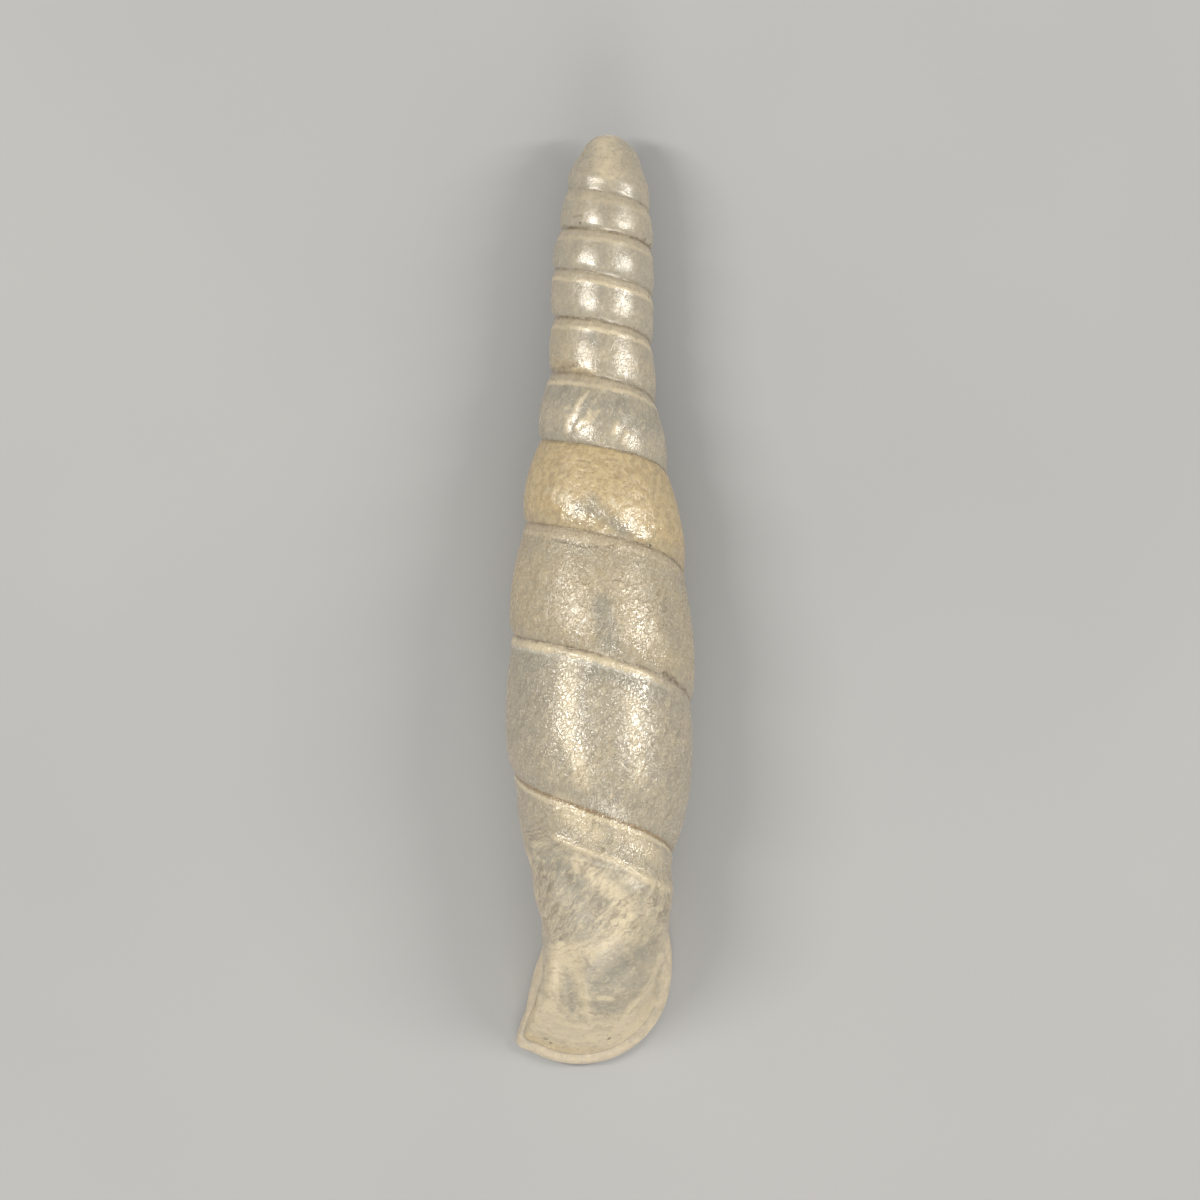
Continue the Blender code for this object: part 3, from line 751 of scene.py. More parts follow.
def normals_of(rings):
    """Outward normals of closed rings of points."""
    down = np.gradient(rings, axis=0)
    round_ring = np.roll(rings, -1, axis=1) - np.roll(rings, 1, axis=1)
    normal = np.cross(down, round_ring)
    normal = normal / np.maximum(np.linalg.norm(normal, axis=-1, keepdims=True), TINY)
    outward = rings - rings.mean(axis=1, keepdims=True)
    return normal * np.sign((normal * outward).sum(axis=-1).mean())


def last_whorl_maps(points, angle, neck):
    """Growth and suture maps of the last whorl and the neck."""
    along = SHELL_LENGTH / 2 - points[..., 1]
    turn = STRIP_TURNS + angle / math.tau
    below = np.maximum(along - suture_at(turn), 0.0)
    above = np.abs(LAST_SUTURE - along) + 2 * smooth_share(0.0, CREASE_END_ANGLE, angle)
    above = mix(above, FAR, smooth_share(math.pi, math.tau, angle))
    start = growth_at(STRIP_TURNS)
    growth = growth_at(turn) + GROWTH_LEAN * below
    lean = np.arctan2(points[..., 0] - FAN_PIVOT[0], FAN_PIVOT[1] - along)
    fan = start + FAN_START + FAN_SPREAD * lean
    fanned = smooth_share(*FAN_BELOW, below) * smooth_share(*FAN_SIDES, np.sin(angle))
    growth = mix(growth, fan, fanned)
    on_neck = np.maximum(smooth_share(*NECK_LINES_FROM, neck), smooth_share(*FAN_ENDS, along))
    growth = mix(growth, start + NECK_GROWTH + NECK_GROWTH_STEP * neck, on_neck)
    return np.stack([growth, below, turn, above], axis=-1)


def soften(rings, middle):
    """Even out the bend where one stretch of rings meets the next."""
    place = np.arange(1, len(rings) - 1)[:, None, None]
    weight = 0.5 * bell(place - middle, SOFTEN_REACH)
    for _ in range(SOFTEN_ROUNDS):
        between = (rings[:-2] + rings[2:]) / 2
        rings[1:-1] += weight * (between - rings[1:-1])
    return rings


def pocket_rings(angle):
    """Rings that line the mouth and round off in the end of its pocket."""
    rings = [lining_points(angle, LINING_FIRST * step) for step in np.linspace(1, 0, LINING_RINGS)]
    inner = rings[-1]
    middle = inner.mean(axis=0)
    end = np.array((POCKET_END[0], SHELL_LENGTH / 2 - POCKET_END[1], POCKET_END[2]))
    for bend in np.linspace(0, math.pi / 2, DOME_RINGS + 1)[1:]:
        rings.append(mix(middle, end, math.sin(bend)) + (inner - middle) * math.cos(bend))
    return np.array(rings)


def mouth_grid(strip):
    """Rings of the last whorl, the neck, the lip and the mouth's lining, with their maps and paint."""
    start_angle, start_along, _ = edge_places(STRIP_TURNS)
    last_angle = ring_angles(STRIP_TURNS)
    whorl_share = (np.arange(WHORL_RINGS + 1)[:, None] / WHORL_RINGS) ** WHORL_RINGS_CROWDED
    angle = mix(start_angle, last_angle, whorl_share)
    along = mix(start_along, curve_through(NECK_START, np.degrees(last_angle)), whorl_share)
    neck_share = np.arange(1, NECK_RINGS + 1)[:, None] / NECK_RINGS
    neck_angle = last_angle + neck_share * 0
    outer = np.concatenate([whorl_base(along, angle), neck_base(neck_angle, neck_share[..., None])])
    outer = soften(outer, WHORL_RINGS)
    angle = np.concatenate([angle, neck_angle])
    share = np.concatenate([whorl_share * 0, neck_share]) + angle * 0
    maps = last_whorl_maps(outer, angle, share)
    full_turn = last_whorl_maps(outer, angle + math.tau, share)
    growth, below, turn, above = np.moveaxis(maps, -1, 0)
    # Here the turn and the gap to the lower suture stand in for each other, and the relief is tuned so
    relief = surface_relief(outer, growth, below, turn, above)
    seam = 1 - smooth_share(*SEAM_CALM_ROUND, np.minimum(angle, math.tau - angle))
    seam = SEAM_CALM * (seam * smooth_share(*SEAM_CALM_ALONG, SHELL_LENGTH / 2 - outer[..., 1]))
    relief = relief * (1 - seam) * (1 - smooth_share(*RELIEF_ENDS, share))
    outer = raised(outer + normals_of(outer) * relief[..., None], angle)
    outer[0] = strip_edge(strip, STRIP_TURNS)
    way = np.arange(1, LIP_RINGS + 1)[:, None] / LIP_RINGS
    lip = rim_points(last_angle + way * 0, curve_through(LIP_INSET, way), curve_through(LIP_HEIGHT, way))
    pocket = pocket_rings(last_angle)
    points = np.concatenate([outer, lip, pocket])

    hidden = len(lip) + len(pocket)
    quiet = np.array((growth_at(STRIP_TURNS + 1), FAR, STRIP_TURNS + 1, FAR))
    quiet = np.broadcast_to(quiet, (hidden, COLUMNS + ROWS, 4))
    maps = np.concatenate([maps, quiet])
    full_turn = np.concatenate([full_turn, quiet])
    bare = np.zeros((hidden, COLUMNS + ROWS))
    back = np.concatenate([on_back(angle), bare])
    grain = np.concatenate([1 - seam - LIP_CALM * smooth_share(*LIP_CALM_FROM, share), bare])
    streaks = np.concatenate([1 - NECK_CALM * smooth_share(*NECK_CALM_FROM, share), bare])
    lining = np.arange(len(points))[:, None] >= len(outer) + len(lip) / 2
    rim = np.arange(len(points))[:, None]
    rim = smooth_share(len(outer) - RIM_FADE, len(outer) + LIP_RINGS / 3, rim) * (1 - lining)
    paint = {
        "marks": painted(points, back, maps[..., 2]),
        "zones": np.stack([grain, rim + back * 0, lining + back * 0, streaks], axis=-1),
        "seams": seamed(maps[..., 2], maps[..., 1], maps[..., 3]),
    }

    def corners(row, column, face_row, face_column):
        over_seam = (column == COLUMNS) & (face_column == COLUMNS - 1)
        column = column % (COLUMNS + ROWS)
        found = np.where(over_seam[:, None], full_turn[row, column], maps[row, column])
        return np.moveaxis(found, -1, 0)

    return closed(points), corners, {name: closed(values) for name, values in paint.items()}


def closed(rings):
    """Rings with their first column repeated at the end."""
    return np.concatenate([rings, rings[:, :1]], axis=1)


def painted(points, back, turn):
    """Strength of the pale, grey and ochre marks, painted highlights and painted shade among them: strokes on
    the back, and golden turns all round.
    """
    right = points[..., 0]
    along = SHELL_LENGTH / 2 - points[..., 1]
    layers = []
    for strokes in (PALE_STROKES_AND_PAINTED_HIGHLIGHTS + PLEATS_AND_PAINTED_HIGHLIGHTS, GREY_STROKES_AND_PAINTED_SHADE + STRIAE, OCHRE_STROKES):
        bare = np.ones(np.shape(right))
        for stroke in over_routes(right, along, strokes):
            bare = bare * (1 - stroke)
        layers.append((1 - bare) * back)
    layers[1] = 1 - (1 - layers[1]) * (1 - at_turn(GREY_BY_TURN, turn))
    layers[2] = 1 - (1 - layers[2]) * (1 - at_turn(OCHRE_BY_TURN, turn))
    return np.stack(layers + [back * 0 + 1], axis=-1)


def seamed(turn, below, above):
    """Strength of the pale band, the painted shade in the suture's groove, the golden line and the ridge
    beside the sutures.
    """
    crack = at_turn(GROOVE_AND_SHADE_BY_TURN, nearest_suture(turn, below, above))
    band, gold, ridge = (at_turn(table, turn) for table in (BAND_BY_TURN, GOLD_BY_TURN, RIDGE_BY_TURN))
    return np.stack([band, crack, gold, ridge], axis=-1)


def strip_grid():
    """The coiled strip with its maps and paint."""
    points, angle, (here, below, above) = strip_points()
    grain = mix(FIRST_GRAIN, 1.0, smooth_share(*GRAIN_FROM, here))
    still = angle * 0
    paint = {
        "marks": painted(points, on_back(angle), here),
        "zones": np.stack([grain, still, still, at_turn(STREAKS_BY_TURN, here)], axis=-1),
        "seams": seamed(here, below, above),
    }
    return points, strip_corners, paint


def tip_grid(strip):
    """The tip of the spire with its maps and paint."""
    points, angle = tip_points(strip)
    still = angle * 0
    paint = {
        "marks": painted(points, on_back(angle), still),
        "zones": np.stack([still + FIRST_GRAIN, still, still, still], axis=-1),
        "seams": seamed(still, still + FAR, still + FAR),
    }

    def corners(row, column, face_row, face_column):
        return row * 0, row * 0 + FAR, row * 0, row * 0 + FAR

    return closed(points), corners, {name: closed(values) for name, values in paint.items()}


def add_grid(points, corners, paint):
    """Add a grid of faces through these points, with its growth and suture maps and its paint."""
    rows, columns = points.shape[:2]
    bpy.ops.mesh.primitive_grid_add(
        x_subdivisions=columns - 1, y_subdivisions=rows - 1, size=1, calc_uvs=False,
    )
    piece = bpy.context.object
    mesh = piece.data
    fresh = np.empty(rows * columns * 3)
    mesh.vertices.foreach_get("co", fresh)
    fresh = fresh.reshape(-1, 3)
    column = np.rint((fresh[:, 0] + 0.5) * (columns - 1)).astype(int)
    row = np.rint((fresh[:, 1] + 0.5) * (rows - 1)).astype(int)
    mesh.vertices.foreach_set("co", (points[row, column] * MILLIMETRE).ravel())
    for name, values in paint.items():
        layer = mesh.color_attributes.new(name=name, type="FLOAT_COLOR", domain="POINT")
        layer.data.foreach_set("color", values[row, column].ravel())
    corner = np.empty(len(mesh.loops), int)
    mesh.loops.foreach_get("vertex_index", corner)
    corner_row = row[corner]
    corner_column = column[corner]
    face_row = np.repeat(corner_row.reshape(-1, 4).min(axis=1), 4)
    face_column = np.repeat(corner_column.reshape(-1, 4).min(axis=1), 4)
    growth, below, turn, above = corners(corner_row, corner_column, face_row, face_column)
    for name, pair in (("growth", (growth, below)), ("suture", (turn, above))):
        layer = mesh.uv_layers.new(name=name)
        layer.data.foreach_set("uv", np.stack(pair, axis=-1).ravel())
    return piece


def settled(grids):
    """The grids, moved over the frame's middle and worn flat where they meet the floor."""
    low = np.min([points.min(axis=(0, 1)) for points, _, _ in grids], axis=0)
    high = np.max([points.max(axis=(0, 1)) for points, _, _ in grids], axis=0)
    middle = (np.array(cad_box[0]) + np.array(cad_box[1])) / 2 / MILLIMETRE
    shift = middle - (low + high) / 2
    shift[2] = 0.0
    moved = []
    for points, corners, paint in grids:
        points = points + shift
        points[..., 2] = np.maximum(points[..., 2], 0.0)
        moved.append((points, corners, paint))
    return moved


def make_shell():
    """The whole shell as one closed skin."""
    strip = strip_grid()
    grids = settled([strip, tip_grid(strip[0]), mouth_grid(strip[0])])
    pieces = [add_grid(*grid) for grid in grids]
    bpy.ops.object.select_all(action="DESELECT")
    for piece in pieces:
        piece.select_set(True)
    bpy.context.view_layer.objects.active = pieces[0]
    bpy.ops.object.join()
    shell = bpy.context.object
    shell.name = "snail_shell"
    bpy.ops.object.mode_set(mode="EDIT")
    bpy.ops.mesh.select_all(action="SELECT")
    bpy.ops.mesh.remove_doubles(threshold=WELD)
    bpy.ops.mesh.normals_make_consistent(inside=False)
    bpy.ops.object.mode_set(mode="OBJECT")
    bpy.ops.object.shade_smooth()
    return shell


class Finish:
    """The nodes of one material, put together step by step."""

    def __init__(self, name):
        self.material = bpy.data.materials.new(name)
        self.material.use_nodes = True
        self.tree = self.material.node_tree
        self.surface = self.tree.nodes["Principled BSDF"]

    def feed(self, socket, value):
        """Link a node's output to a socket, or set the socket's value."""
        if isinstance(value, bpy.types.NodeSocket):
            self.tree.links.new(value, socket)
        else:
            socket.default_value = value

    def node(self, kind, settings=None, **inputs):
        """Add a node with these settings and inputs."""
        made = self.tree.nodes.new(kind)
        for name, value in (settings or {}).items():
            setattr(made, name, value)
        for name, value in inputs.items():
            self.feed(made.inputs[name.replace("_", " ")], value)
        return made

    def math(self, operation, first, second=0.0, third=0.0, clamped=False):
        """Result of a sum on numbers."""
        made = self.tree.nodes.new("ShaderNodeMath")
        made.operation = operation
        made.use_clamp = clamped
        for socket, value in zip(made.inputs, (first, second, third)):
            self.feed(socket, value)
        return made.outputs[0]

    def vector(self, operation, first, second=(0.0, 0.0, 0.0), scale=1.0):
        """Result of a sum on vectors."""
        made = self.tree.nodes.new("ShaderNodeVectorMath")
        made.operation = operation
        self.feed(made.inputs[0], first)
        self.feed(made.inputs[1], second)
        self.feed(made.inputs[3], scale)
        return made.outputs["Value" if operation in ("DOT_PRODUCT", "DISTANCE") else "Vector"]

    def times(self, first, second):
        """Product of two numbers."""
        return self.math("MULTIPLY", first, second)

    def scaled(self, value, factor, offset):
        """A number times a factor, plus an offset."""
        return self.math("MULTIPLY_ADD", value, factor, offset)

    def total(self, first, *others):
        """Sum of some numbers."""
        for other in others:
            first = self.math("ADD", first, other)
        return first

    def band(self, value, low, high, start=0.0, stop=1.0):
        """Smooth step between two places."""
        made = self.node("ShaderNodeMapRange", {"interpolation_type": "SMOOTHSTEP"}, Value=value)
        for name, edge in (("From Min", low), ("From Max", high), ("To Min", start), ("To Max", stop)):
            made.inputs[name].default_value = edge
        return made.outputs[0]

    def stripe(self, value, low, full, late, high, strength=1.0):
        """A stripe that sets in between two places and fades out between two others."""
        return self.times(self.band(value, low, full), self.band(value, late, high, strength, 0.0))

    def mixed(self, share, first, second):
        """Colour between two colours."""
        made = self.tree.nodes.new("ShaderNodeMix")
        made.data_type = "RGBA"
        self.feed(made.inputs[0], share)
        self.feed(made.inputs[6], first)
        self.feed(made.inputs[7], second)
        return made.outputs[2]

    def stretched(self, vector, scale, shift=(0.0, 0.0, 0.0)):
        """The same coordinates, scaled and moved."""
        made = self.node("ShaderNodeMapping", Vector=vector)
        made.inputs["Scale"].default_value = scale
        made.inputs["Location"].default_value = shift
        return made.outputs[0]

    def speckle(self, vector, scale, detail=2.0, roughness=0.5, distortion=0.0):
        """Smooth noise from 0 to 1."""
        made = self.node(
            "ShaderNodeTexNoise", Vector=vector, Scale=scale, Detail=detail, Roughness=roughness,
            Distortion=distortion,
        )
        return made.outputs[0]

    def relief(self, height, distance, below=None):
        """Fine relief on the surface, over a coarser one."""
        made = self.node("ShaderNodeBump", Height=height, Distance=distance)
        if below is not None:
            self.feed(made.inputs["Normal"], below)
        return made.outputs[0]


def srgb(red, green, blue):
    """Colour as light, from the 0 to 255 values of a screen."""
    values = [value / 255 for value in (red, green, blue)]
    light = [value / 12.92 if value < 0.04045 else ((value + 0.055) / 1.055) ** 2.4 for value in values]
    return (*light, 1.0)


BEIGE = srgb(180, 169, 146)
GREY_BEIGE = srgb(168, 160, 142)
# Cream is also the colour of the painted highlights
CREAM = srgb(226, 211, 178)
SAND = srgb(190, 172, 140)
OCHRE = srgb(190, 162, 104)
STRAW = srgb(216, 190, 132)
# Grey is also the colour of painted shade
GREY = srgb(142, 139, 127)
DUSK = srgb(126, 114, 92)
# Pale blue-grey of the painted pearly sheen
PAINTED_SHEEN = srgb(206, 206, 196)
GOLD = srgb(168, 138, 90)
# Dark brown of the creases, also painted as the shade in the suture's groove
BROWN_LINE_AND_SHADE = srgb(112, 92, 64)
STAIN = srgb(84, 64, 38)
LIP = srgb(214, 199, 174)
LINING = srgb(206, 194, 176)
BOARD_DARK = srgb(176, 179, 183)
BOARD_LIGHT = srgb(182, 184, 187)

# What the painted layers of the skin hold
LAYERS = {
    "marks": ("pale", "grey", "ochre"),
    "zones": ("grain", "rim", "lining", "streaks"),
    "seams": ("band", "crack", "gold", "ridge"),
}

# Noises of the skin: how many to a millimetre, detail, roughness and distortion
NOISES = {
    "cloud": (1.3, 4.0, 0.6, 0.0),
    "patch": (5.0, 4.0, 0.65, 0.4),
    "fleck": (16.0, 3.0, 0.6, 0.3),
    "crumple": (7.0, 2.0, 0.5, 0.4),
    "drift": (7.0, 2.0, 0.5, 0.0),
}

# Growth lines: how many to a millimetre along the coil and down the whorl, a shift, and the noise
LINES = {
    "lines": ((9.0, 1.4, 1.0), (0, 0, 0), (3.0, 0.6, 0.3)),
    "fine_lines": ((24.0, 4.0, 1.0), (3, 7, 0), (2.0, 0.6, 0.3)),
}

# Small plates: how many to a millimetre, the width of their seams, and how much they drift
PLATES = (15.0, 9.0, 1.0)
PLATE_SEAM = 0.12
DRIFT = 0.20

# How strong the grain is by the mouth, and where the skin is plated or striate: two places, and the
# strength before and after them. Striae leave this much less of the plates.
MOUTH_QUIET = (0.0, 1.0, 1.0, 0.25)
PLATED_TURNS = (5.8, 7.4, 0.25, 1.0)
PLATED_PATCHES = (0.38, 0.58, 0.25, 1.0)
STRIATE_TURNS = (8.98, 9.0)
STRIATE_BELOW = (0.6, 1.2)
STRIATE_BARE = 0.8

# Painted marks: how ragged the edge is, where the mark starts and is full, and its strength
MARKS = {"ochre": (0.7, 0.10, 0.85, 0.80), "grey": (1.0, 0.15, 0.95, 0.76), "pale": (1.1, 0.10, 0.85, 0.82)}
RAGGED_PATCHES = 0.6
RAGGED_LINES = 0.4

# Coats on the skin: two values of a noise, and how strong the coat is below and above them
CLOUD_EDGES = (0.35, 0.65)
CREAM_PATCHES = (0.45, 0.75, 0.0, 0.30)
FLAKE_EDGES = (0.38, 0.62)
DUSKY_FLAKES = (0.32, 0.44, 0.30, 0.0)
CREAM_FLECKS = (0.52, 0.70, 0.0, 0.34)
DUSKY_FLECKS = (0.28, 0.46, 0.40, 0.0)
CREAM_PLATES = (0.45, 1.0, 0.0, 0.28)
DUSKY_BLOTCHES = (0.34, 0.46, 0.18, 0.0)
CREAM_BLOTCHES = (0.54, 0.66, 0.0, 0.30)
SEAM_STRENGTH = 0.34

# Dusky streaks and cream glints along the growth lines, and what the striae add to both
STREAK_EDGES = (0.50, 0.68)
STREAK_STRENGTH = (0.20, 0.52)
GLINT_EDGES = (0.52, 0.72)
GLINT_STRENGTH = 0.50
STRIATE_LINES = 0.05

# Stripes beside the suture, in millimetres from it: start, full, start of the end, end, and strength
UNDER_BAND = (0.20, 0.28, 0.34, 0.80, 0.30)
# A painted pearly sheen along the lower edge of the thread
PAINTED_SHEEN_LINE = (0.15, 0.19, 0.21, 0.26, 0.5)
RIDGE_LINE = (0.12, 0.17, 0.20, 0.25, 0.8)
SCALLOP = (0.05, 0.09, 0.12, 0.19, 0.8)

# What fades out from the suture on: two places in millimetres, and how strong it is before and after them
SHADE_ABOVE = (0.05, 0.40, 0.28, 0.0)
PALE_BAND = (0.12, 0.24, 1.0, 0.0)
GOLDEN_LINE = (0.02, 0.07, 0.9, 0.0)
SUTURE_SHADE_LINE = (0.0, 0.06, 1.0, 0.0)

# How the edges beside the suture wander, what breaks up the band and the groove's painted shade, and the
# thread's turns
EDGE_WANDERS = 0.16
SUTURE_WANDERS = 0.10
BAND_BREAKS = (0.30, 0.62, 0.35, 1.0)
SUTURE_SHADE_BREAKS = (0.38, 0.60, 0.15, 1.0)
THREAD_TURNS = (7.7, 7.95)

# Creases and stains: how much their edges wander, and where they fade out, in widths or sizes
CREASE_WANDERS = 0.10
CREASE_EDGES = (0.3, 1.7)
CREASE_BREAKS = (0.34, 0.56, 0.2, 1.0)
STAIN_WANDERS = 2
STAIN_EDGES = (0.3, 1.3)

# How much the rim's and the lining's colour covers
RIM_COAT = (0.35, 0.65, 0.35, 0.75)
LINING_COAT = 0.90

# Roughness of the patches, and what striae, rim, golden turn, plates and first turns add to it. What the
# striae add grows with the grey, and what the plates add with their tone.
GLOSS = (0.3, 0.7, 0.18, 0.30)
STRIATE_MATTE = (0.30, 0.22)
RIM_MATTE = 0.30
OCHRE_MATTE = (0.25, 0.80, -0.04, 0.16)
PLATE_MATTE = (0.24, -0.18)
FIRST_MATTE = (4.0, 6.0, 0.07, 0.0)

# Coarse and fine relief: the height in millimetres, and the share of each thing in it. The share of the
# growth lines is greater where the striae are.
COARSE_HEIGHT = 0.009
LINES_RELIEF = (1.5, 0.9)
PATCH_RELIEF = 0.7
CRUMPLE_RELIEF = 3.0
FINE_HEIGHT = 0.0062
PLATE_RELIEF = 1.15
FINE_LINES_RELIEF = 0.6
FLECK_RELIEF = 0.35
CREASE_RELIEF = 1.2

# The shell's gloss, the light inside its thin wall, and the soft shine at its edges
SHELL_SOCKETS = {
    "IOR": 1.8,
    "Specular IOR Level": 1.0,
    "Subsurface Weight": 0.30,
    "Subsurface Radius": (1.0, 0.8, 0.55),
    "Subsurface Scale": 0.20 * MILLIMETRE,
    "Sheen Weight": 0.42,
    "Sheen Roughness": 0.35,
    "Sheen Tint": srgb(240, 222, 208),
}

# The board: how many flecks to a metre and their detail, where its tones change, and how rough it is
BOARD_NOISE = (60.0, 3.0)
BOARD_TONES = (0.3, 0.7)
BOARD_ROUGHNESS = 0.8


def shell_maps(finish):
    """Maps that the skin carries, and its place in millimetres."""
    place = finish.node("ShaderNodeTexCoord").outputs["Object"]
    place = finish.stretched(place, (1 / MILLIMETRE,) * 3)
    growth = finish.node("ShaderNodeUVMap", {"uv_map": "growth"}).outputs[0]
    suture = finish.node("ShaderNodeUVMap", {"uv_map": "suture"}).outputs[0]
    suture = finish.node("ShaderNodeSeparateXYZ", Vector=suture).outputs
    found = {}
    for layer, names in LAYERS.items():
        paint = finish.node("ShaderNodeVertexColor", {"layer_name": layer})
        parts = finish.node("ShaderNodeSeparateColor", Color=paint.outputs["Color"]).outputs
        found.update(zip(names, (*parts, paint.outputs["Alpha"])))
    return SimpleNamespace(
        place=place, growth=growth, below=finish.node("ShaderNodeSeparateXYZ", Vector=growth).outputs[1],
        turn=suture[0], above=suture[1], height=finish.node("ShaderNodeSeparateXYZ", Vector=place).outputs[2],
        **found,
    )


def shell_grain(finish, maps):
    """Clouds, flecks, growth lines and the small plates of the skin, each from 0 to 1."""
    noises = {name: finish.speckle(maps.place, *noise) for name, noise in NOISES.items()}
    bent = finish.vector("ADD", maps.growth, finish.scaled(noises["drift"], DRIFT, -DRIFT / 2))
    for name, (scale, shift, noise) in LINES.items():
        noises[name] = finish.speckle(finish.stretched(bent, scale, shift), 1.0, *noise)
    place = finish.stretched(bent, PLATES)
    seams, tones = (
        finish.node(
            "ShaderNodeTexVoronoi", {"voronoi_dimensions": "2D", "feature": feature}, Vector=place, Scale=1.0,
        ).outputs
        for feature in ("DISTANCE_TO_EDGE", "F1")
    )
    plates = finish.band(seams["Distance"], 0.0, PLATE_SEAM)
    tone = finish.node("ShaderNodeSeparateColor", Color=tones["Color"]).outputs[0]
    return SimpleNamespace(plates=plates, tone=tone, **noises)


def marked(finish, maps, grain, name):
    """Strength of a painted mark, whose edge is broken up by the grain."""
    wildness, low, full, strength = MARKS[name]
    broken = finish.total(finish.times(grain.patch, RAGGED_PATCHES), finish.times(grain.lines, RAGGED_LINES))
    uneven = finish.times(finish.math("SUBTRACT", broken, 0.5), wildness)
    return finish.band(finish.total(getattr(maps, name), uneven), low, full, 0.0, strength)


def shell_colour(finish, maps, grain):
    """Beige shell with ochre, grey and cream zones, painted highlights and painted shade among them, flecked
    and lined along its growth.
    """
    times, band, mixed, scaled = finish.times, finish.band, finish.mixed, finish.scaled
    colour = mixed(band(grain.cloud, *CLOUD_EDGES), BEIGE, GREY_BEIGE)
    colour = mixed(band(grain.patch, *CREAM_PATCHES), colour, CREAM)
    flaked = mixed(band(grain.crumple, *FLAKE_EDGES), OCHRE, STRAW)
    flaked = mixed(band(grain.patch, *DUSKY_FLAKES), flaked, DUSK)
    # The pale and ochre marks hold painted highlights and the grey marks painted shade, besides the shell's
    # own zones
    for name, tint in (("ochre", flaked), ("grey", GREY), ("pale", CREAM)):
        colour = mixed(marked(finish, maps, grain, name), colour, tint)
    colour = mixed(band(grain.fleck, *CREAM_FLECKS), colour, CREAM)
    colour = mixed(band(grain.fleck, *DUSKY_FLECKS), colour, DUSK)
    lined = times(maps.grain, maps.streaks)
    streak = times(band(scaled(maps.striate, STRIATE_LINES, grain.lines), *STREAK_EDGES), lined)
    colour = mixed(times(streak, scaled(maps.striate, *STREAK_STRENGTH)), colour, DUSK)
    glint = times(band(scaled(maps.striate, STRIATE_LINES, grain.fine_lines), *GLINT_EDGES), lined)
    colour = mixed(times(glint, GLINT_STRENGTH), colour, CREAM)
    colour = mixed(times(band(grain.tone, *CREAM_PLATES), maps.plated), colour, CREAM)
    colour = mixed(times(band(grain.patch, *DUSKY_BLOTCHES), maps.striate), colour, DUSK)
    colour = mixed(times(band(grain.patch, *CREAM_BLOTCHES), maps.striate), colour, CREAM)
    gaps = times(finish.math("SUBTRACT", 1.0, grain.plates), maps.plated)
    return mixed(times(gaps, SEAM_STRENGTH), colour, DUSK)


def sutured(finish, maps, grain, colour):
    """The colour with what follows each suture: a pale band, a ridge, a painted sheen line, the painted shade
    in its groove, a golden line.
    """
    times, band, mixed, stripe = finish.times, finish.band, finish.mixed, finish.stripe
    wave = finish.math("SUBTRACT", grain.patch, 0.5)
    fine_wave = finish.math("SUBTRACT", grain.fleck, 0.5)
    edge = finish.scaled(wave, EDGE_WANDERS, maps.below)
    near = finish.scaled(fine_wave, SUTURE_WANDERS, finish.math("MINIMUM", maps.below, maps.above))
    broken = band(grain.cloud, *BAND_BREAKS)
    thread = times(band(maps.turn, *THREAD_TURNS), maps.band)

    colour = mixed(band(maps.above, *SHADE_ABOVE), colour, GREY)
    colour = mixed(times(stripe(edge, *UNDER_BAND), maps.band), colour, GREY)
    lit = times(times(band(edge, *PALE_BAND), maps.band), broken)
    colour = mixed(lit, colour, mixed(thread, SAND, CREAM))
    # Painted pearly sheen along the thread's lower edge
    colour = mixed(times(stripe(edge, *PAINTED_SHEEN_LINE), thread), colour, PAINTED_SHEEN)
    colour = mixed(times(times(stripe(edge, *RIDGE_LINE), maps.ridge), broken), colour, CREAM)
    colour = mixed(times(stripe(near, *SCALLOP), maps.gold), colour, CREAM)
    colour = mixed(times(band(near, *GOLDEN_LINE), maps.gold), colour, GOLD)
    # Painted shade in the suture's groove, dark brown, broken up by the patches
    crack = times(times(band(near, *SUTURE_SHADE_LINE), maps.crack), band(grain.patch, *SUTURE_SHADE_BREAKS))
    return mixed(crack, colour, BROWN_LINE_AND_SHADE)


def way_to_line(finish, flat_place, start, end):
    """Distances, seen from above, to a straight line between two places."""
    first, last = (Vector((right, SHELL_LENGTH / 2 - along, 0)) for right, along in (start, end))
    run = last - first
    way = finish.vector("SUBTRACT", flat_place, first)
    share = finish.math("DIVIDE", finish.vector("DOT_PRODUCT", way, run), run.length_squared, clamped=True)
    return finish.vector("DISTANCE", way, finish.vector("SCALE", run, scale=share))


def crease_mask(finish, maps, grain):
    """Strength of the thin brown creases of the back, two of them painted shadow and shade beside folds."""
    flat_place = finish.stretched(maps.place, (1.0, 1.0, 0.0))
    uneven = finish.scaled(grain.fleck, CREASE_WANDERS, -CREASE_WANDERS / 2)
    deepest = 0.0
    for strength, width, start, end in CREASES:
        way = finish.total(way_to_line(finish, flat_place, start, end), uneven)
        mask = finish.band(way, *(width * share for share in CREASE_EDGES), strength, 0.0)
        deepest = finish.math("MAXIMUM", mask, deepest)
    broken = finish.band(grain.patch, *CREASE_BREAKS)
    return finish.times(deepest, finish.times(broken, finish.band(maps.height, *CREASE_HEIGHT)))


def stained(finish, maps, grain, colour, spots):
    """The colour with the small dark stains."""
    uneven = finish.math("SUBTRACT", grain.fleck, 0.5)
    for spot, size, strength in spots:
        way = finish.vector("DISTANCE", maps.place, spot)
        reach = finish.scaled(uneven, STAIN_WANDERS * size, way)
        mask = finish.band(reach, *(size * share for share in STAIN_EDGES), strength, 0.0)
        colour = finish.mixed(mask, colour, STAIN)
    return colour


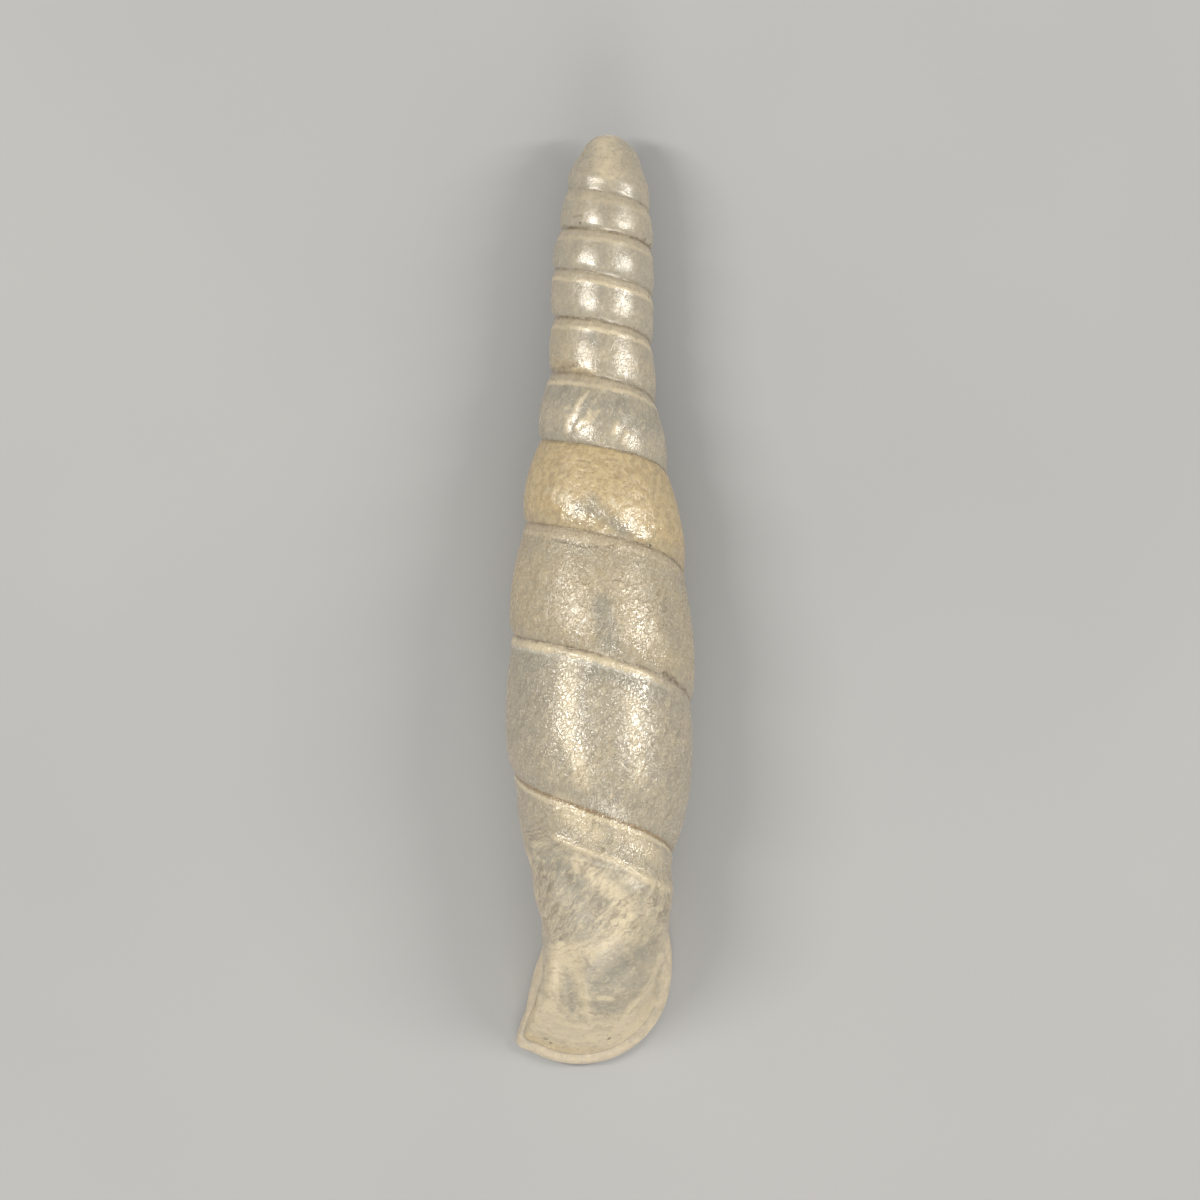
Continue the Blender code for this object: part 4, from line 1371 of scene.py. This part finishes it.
def shell_roughness(finish, maps, grain):
    """Roughness of the skin: smooth plates between duller striae, rim and first turns."""
    times, band, scaled = finish.times, finish.band, finish.scaled
    return finish.total(
        band(grain.patch, *GLOSS), times(maps.striate, scaled(maps.grey, *STRIATE_MATTE)),
        times(maps.rim, RIM_MATTE), times(maps.ochre, band(maps.above, *OCHRE_MATTE)),
        times(maps.plated, scaled(grain.tone, *PLATE_MATTE)), band(maps.turn, *FIRST_MATTE),
    )


def shell_relief(finish, maps, grain, creases):
    """Coarse relief of patches, growth lines and crumples, with fine plates, lines and creases on it."""
    times = finish.times
    lines = times(times(grain.lines, maps.grain), finish.scaled(maps.striate, *LINES_RELIEF))
    crumples = times(times(grain.crumple, maps.ochre), CRUMPLE_RELIEF)
    coarse = finish.total(times(grain.patch, PATCH_RELIEF), lines, crumples)
    surface = finish.relief(coarse, COARSE_HEIGHT * MILLIMETRE)
    fine_lines = times(times(grain.fine_lines, maps.grain), FINE_LINES_RELIEF)
    fine = finish.scaled(times(grain.plates, maps.plated), PLATE_RELIEF, fine_lines)
    fine = finish.total(fine, times(grain.fleck, FLECK_RELIEF))
    fine = finish.math("SUBTRACT", fine, times(creases, CREASE_RELIEF))
    return finish.relief(fine, FINE_HEIGHT * MILLIMETRE, surface)


def shell_finish(spots):
    """Thin, glossy, pale horn-coloured shell whose wrinkles break the gloss into glints, with some highlights
    and shade painted into its colour.
    """
    finish = Finish("glossy_pale_shell")
    times, band, mixed = finish.times, finish.band, finish.mixed
    maps = shell_maps(finish)
    grain = shell_grain(finish, maps)
    maps.grain = times(maps.grain, band(finish.total(maps.rim, maps.lining), *MOUTH_QUIET))
    plated = times(band(maps.turn, *PLATED_TURNS), band(grain.patch, *PLATED_PATCHES))
    maps.striate = times(band(maps.turn, *STRIATE_TURNS), band(maps.below, *STRIATE_BELOW))
    plated = times(plated, finish.scaled(maps.striate, -STRIATE_BARE, 1.0))
    maps.plated = times(plated, maps.grain)
    creases = crease_mask(finish, maps, grain)

    colour = sutured(finish, maps, grain, shell_colour(finish, maps, grain))
    colour = mixed(times(maps.rim, band(grain.patch, *RIM_COAT)), colour, LIP)
    colour = mixed(times(maps.lining, LINING_COAT), colour, LINING)
    # Brown creases, two of which paint shade beside the palatal fold and the step above the lip
    colour = mixed(creases, colour, BROWN_LINE_AND_SHADE)
    sockets = SHELL_SOCKETS | {
        "Base Color": stained(finish, maps, grain, colour, spots),
        "Roughness": shell_roughness(finish, maps, grain),
        "Normal": shell_relief(finish, maps, grain, creases),
    }
    for name, value in sockets.items():
        finish.feed(finish.surface.inputs[name], value)
    return finish.material


def spots_on(shell):
    """The stains' middles on the back of the skin, with their sizes and strengths."""
    places = np.empty(len(shell.data.vertices) * 3)
    shell.data.vertices.foreach_get("co", places)
    places = places.reshape(-1, 3) / MILLIMETRE
    found = []
    for right, along, size, strength in STAINS:
        gap = np.hypot(places[:, 0] - right, places[:, 1] - SHELL_LENGTH / 2 + along)
        gap, height = gap[gap < gap.min() + NEAR_STAIN], places[gap < gap.min() + NEAR_STAIN, 2]
        weight = (height > height.max() - WALL) / (gap + TINY) ** 2
        height = (height * weight).sum() / weight.sum()
        found.append(((right, SHELL_LENGTH / 2 - along, height), size, strength))
    return found


def floor_finish():
    """Plain pale board."""
    finish = Finish("pale_board")
    place = finish.node("ShaderNodeTexCoord").outputs["Object"]
    tone = finish.band(finish.speckle(place, *BOARD_NOISE), *BOARD_TONES)
    finish.feed(finish.surface.inputs["Base Color"], finish.mixed(tone, BOARD_DARK, BOARD_LIGHT))
    finish.surface.inputs["Roughness"].default_value = BOARD_ROUGHNESS
    return finish.material


def add_studio():
    """The plain floor, the soft lights and the pale surroundings."""
    bpy.ops.mesh.primitive_plane_add(size=FLOOR_SIZE, location=(0, 0, -FLOOR_GAP))
    floor = bpy.context.object
    floor.name = "floor"
    floor.data.materials.append(floor_finish())
    for name, way, strength, width in LAMPS:
        bpy.ops.object.light_add(type="AREA", location=Vector(way).normalized() * LAMP_DISTANCE)
        lamp = bpy.context.object
        lamp.name = name
        lamp.data.shape = "RECTANGLE"
        lamp.data.size = width
        lamp.data.size_y = LAMP_LENGTH
        lamp.data.energy = strength
        lamp.data.color = LAMP_COLOUR
        lamp.rotation_euler = Vector(way).to_track_quat("Z", "Y").to_euler()
    world = bpy.data.worlds.new("pale_room")
    world.use_nodes = True
    around = world.node_tree.nodes["Background"]
    around.inputs["Color"].default_value = ROOM_COLOUR
    around.inputs["Strength"].default_value = ROOM_STRENGTH
    bpy.context.scene.world = world


def add_camera():
    """Look straight down on the shell, as the photograph does."""
    camera = bpy.data.cameras.new("camera")
    camera.lens = CAMERA_LENS
    camera.sensor_width = CAMERA_SENSOR
    camera.clip_start = CAMERA_CLIP
    eye = bpy.data.objects.new("camera", camera)
    bpy.context.collection.objects.link(eye)
    distance = PHOTO_WIDTH * CAMERA_LENS / CAMERA_SENSOR
    eye.location = (0, 0, (distance + AXIS_HEIGHT) * MILLIMETRE)
    bpy.context.scene.camera = eye


shell = make_shell()
shell.data.materials.clear()
shell.data.materials.append(shell_finish(spots_on(shell)))
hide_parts("shell")
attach(shell, "root")
add_studio()
add_camera()
bpy.context.scene.view_settings.view_transform = "Standard"
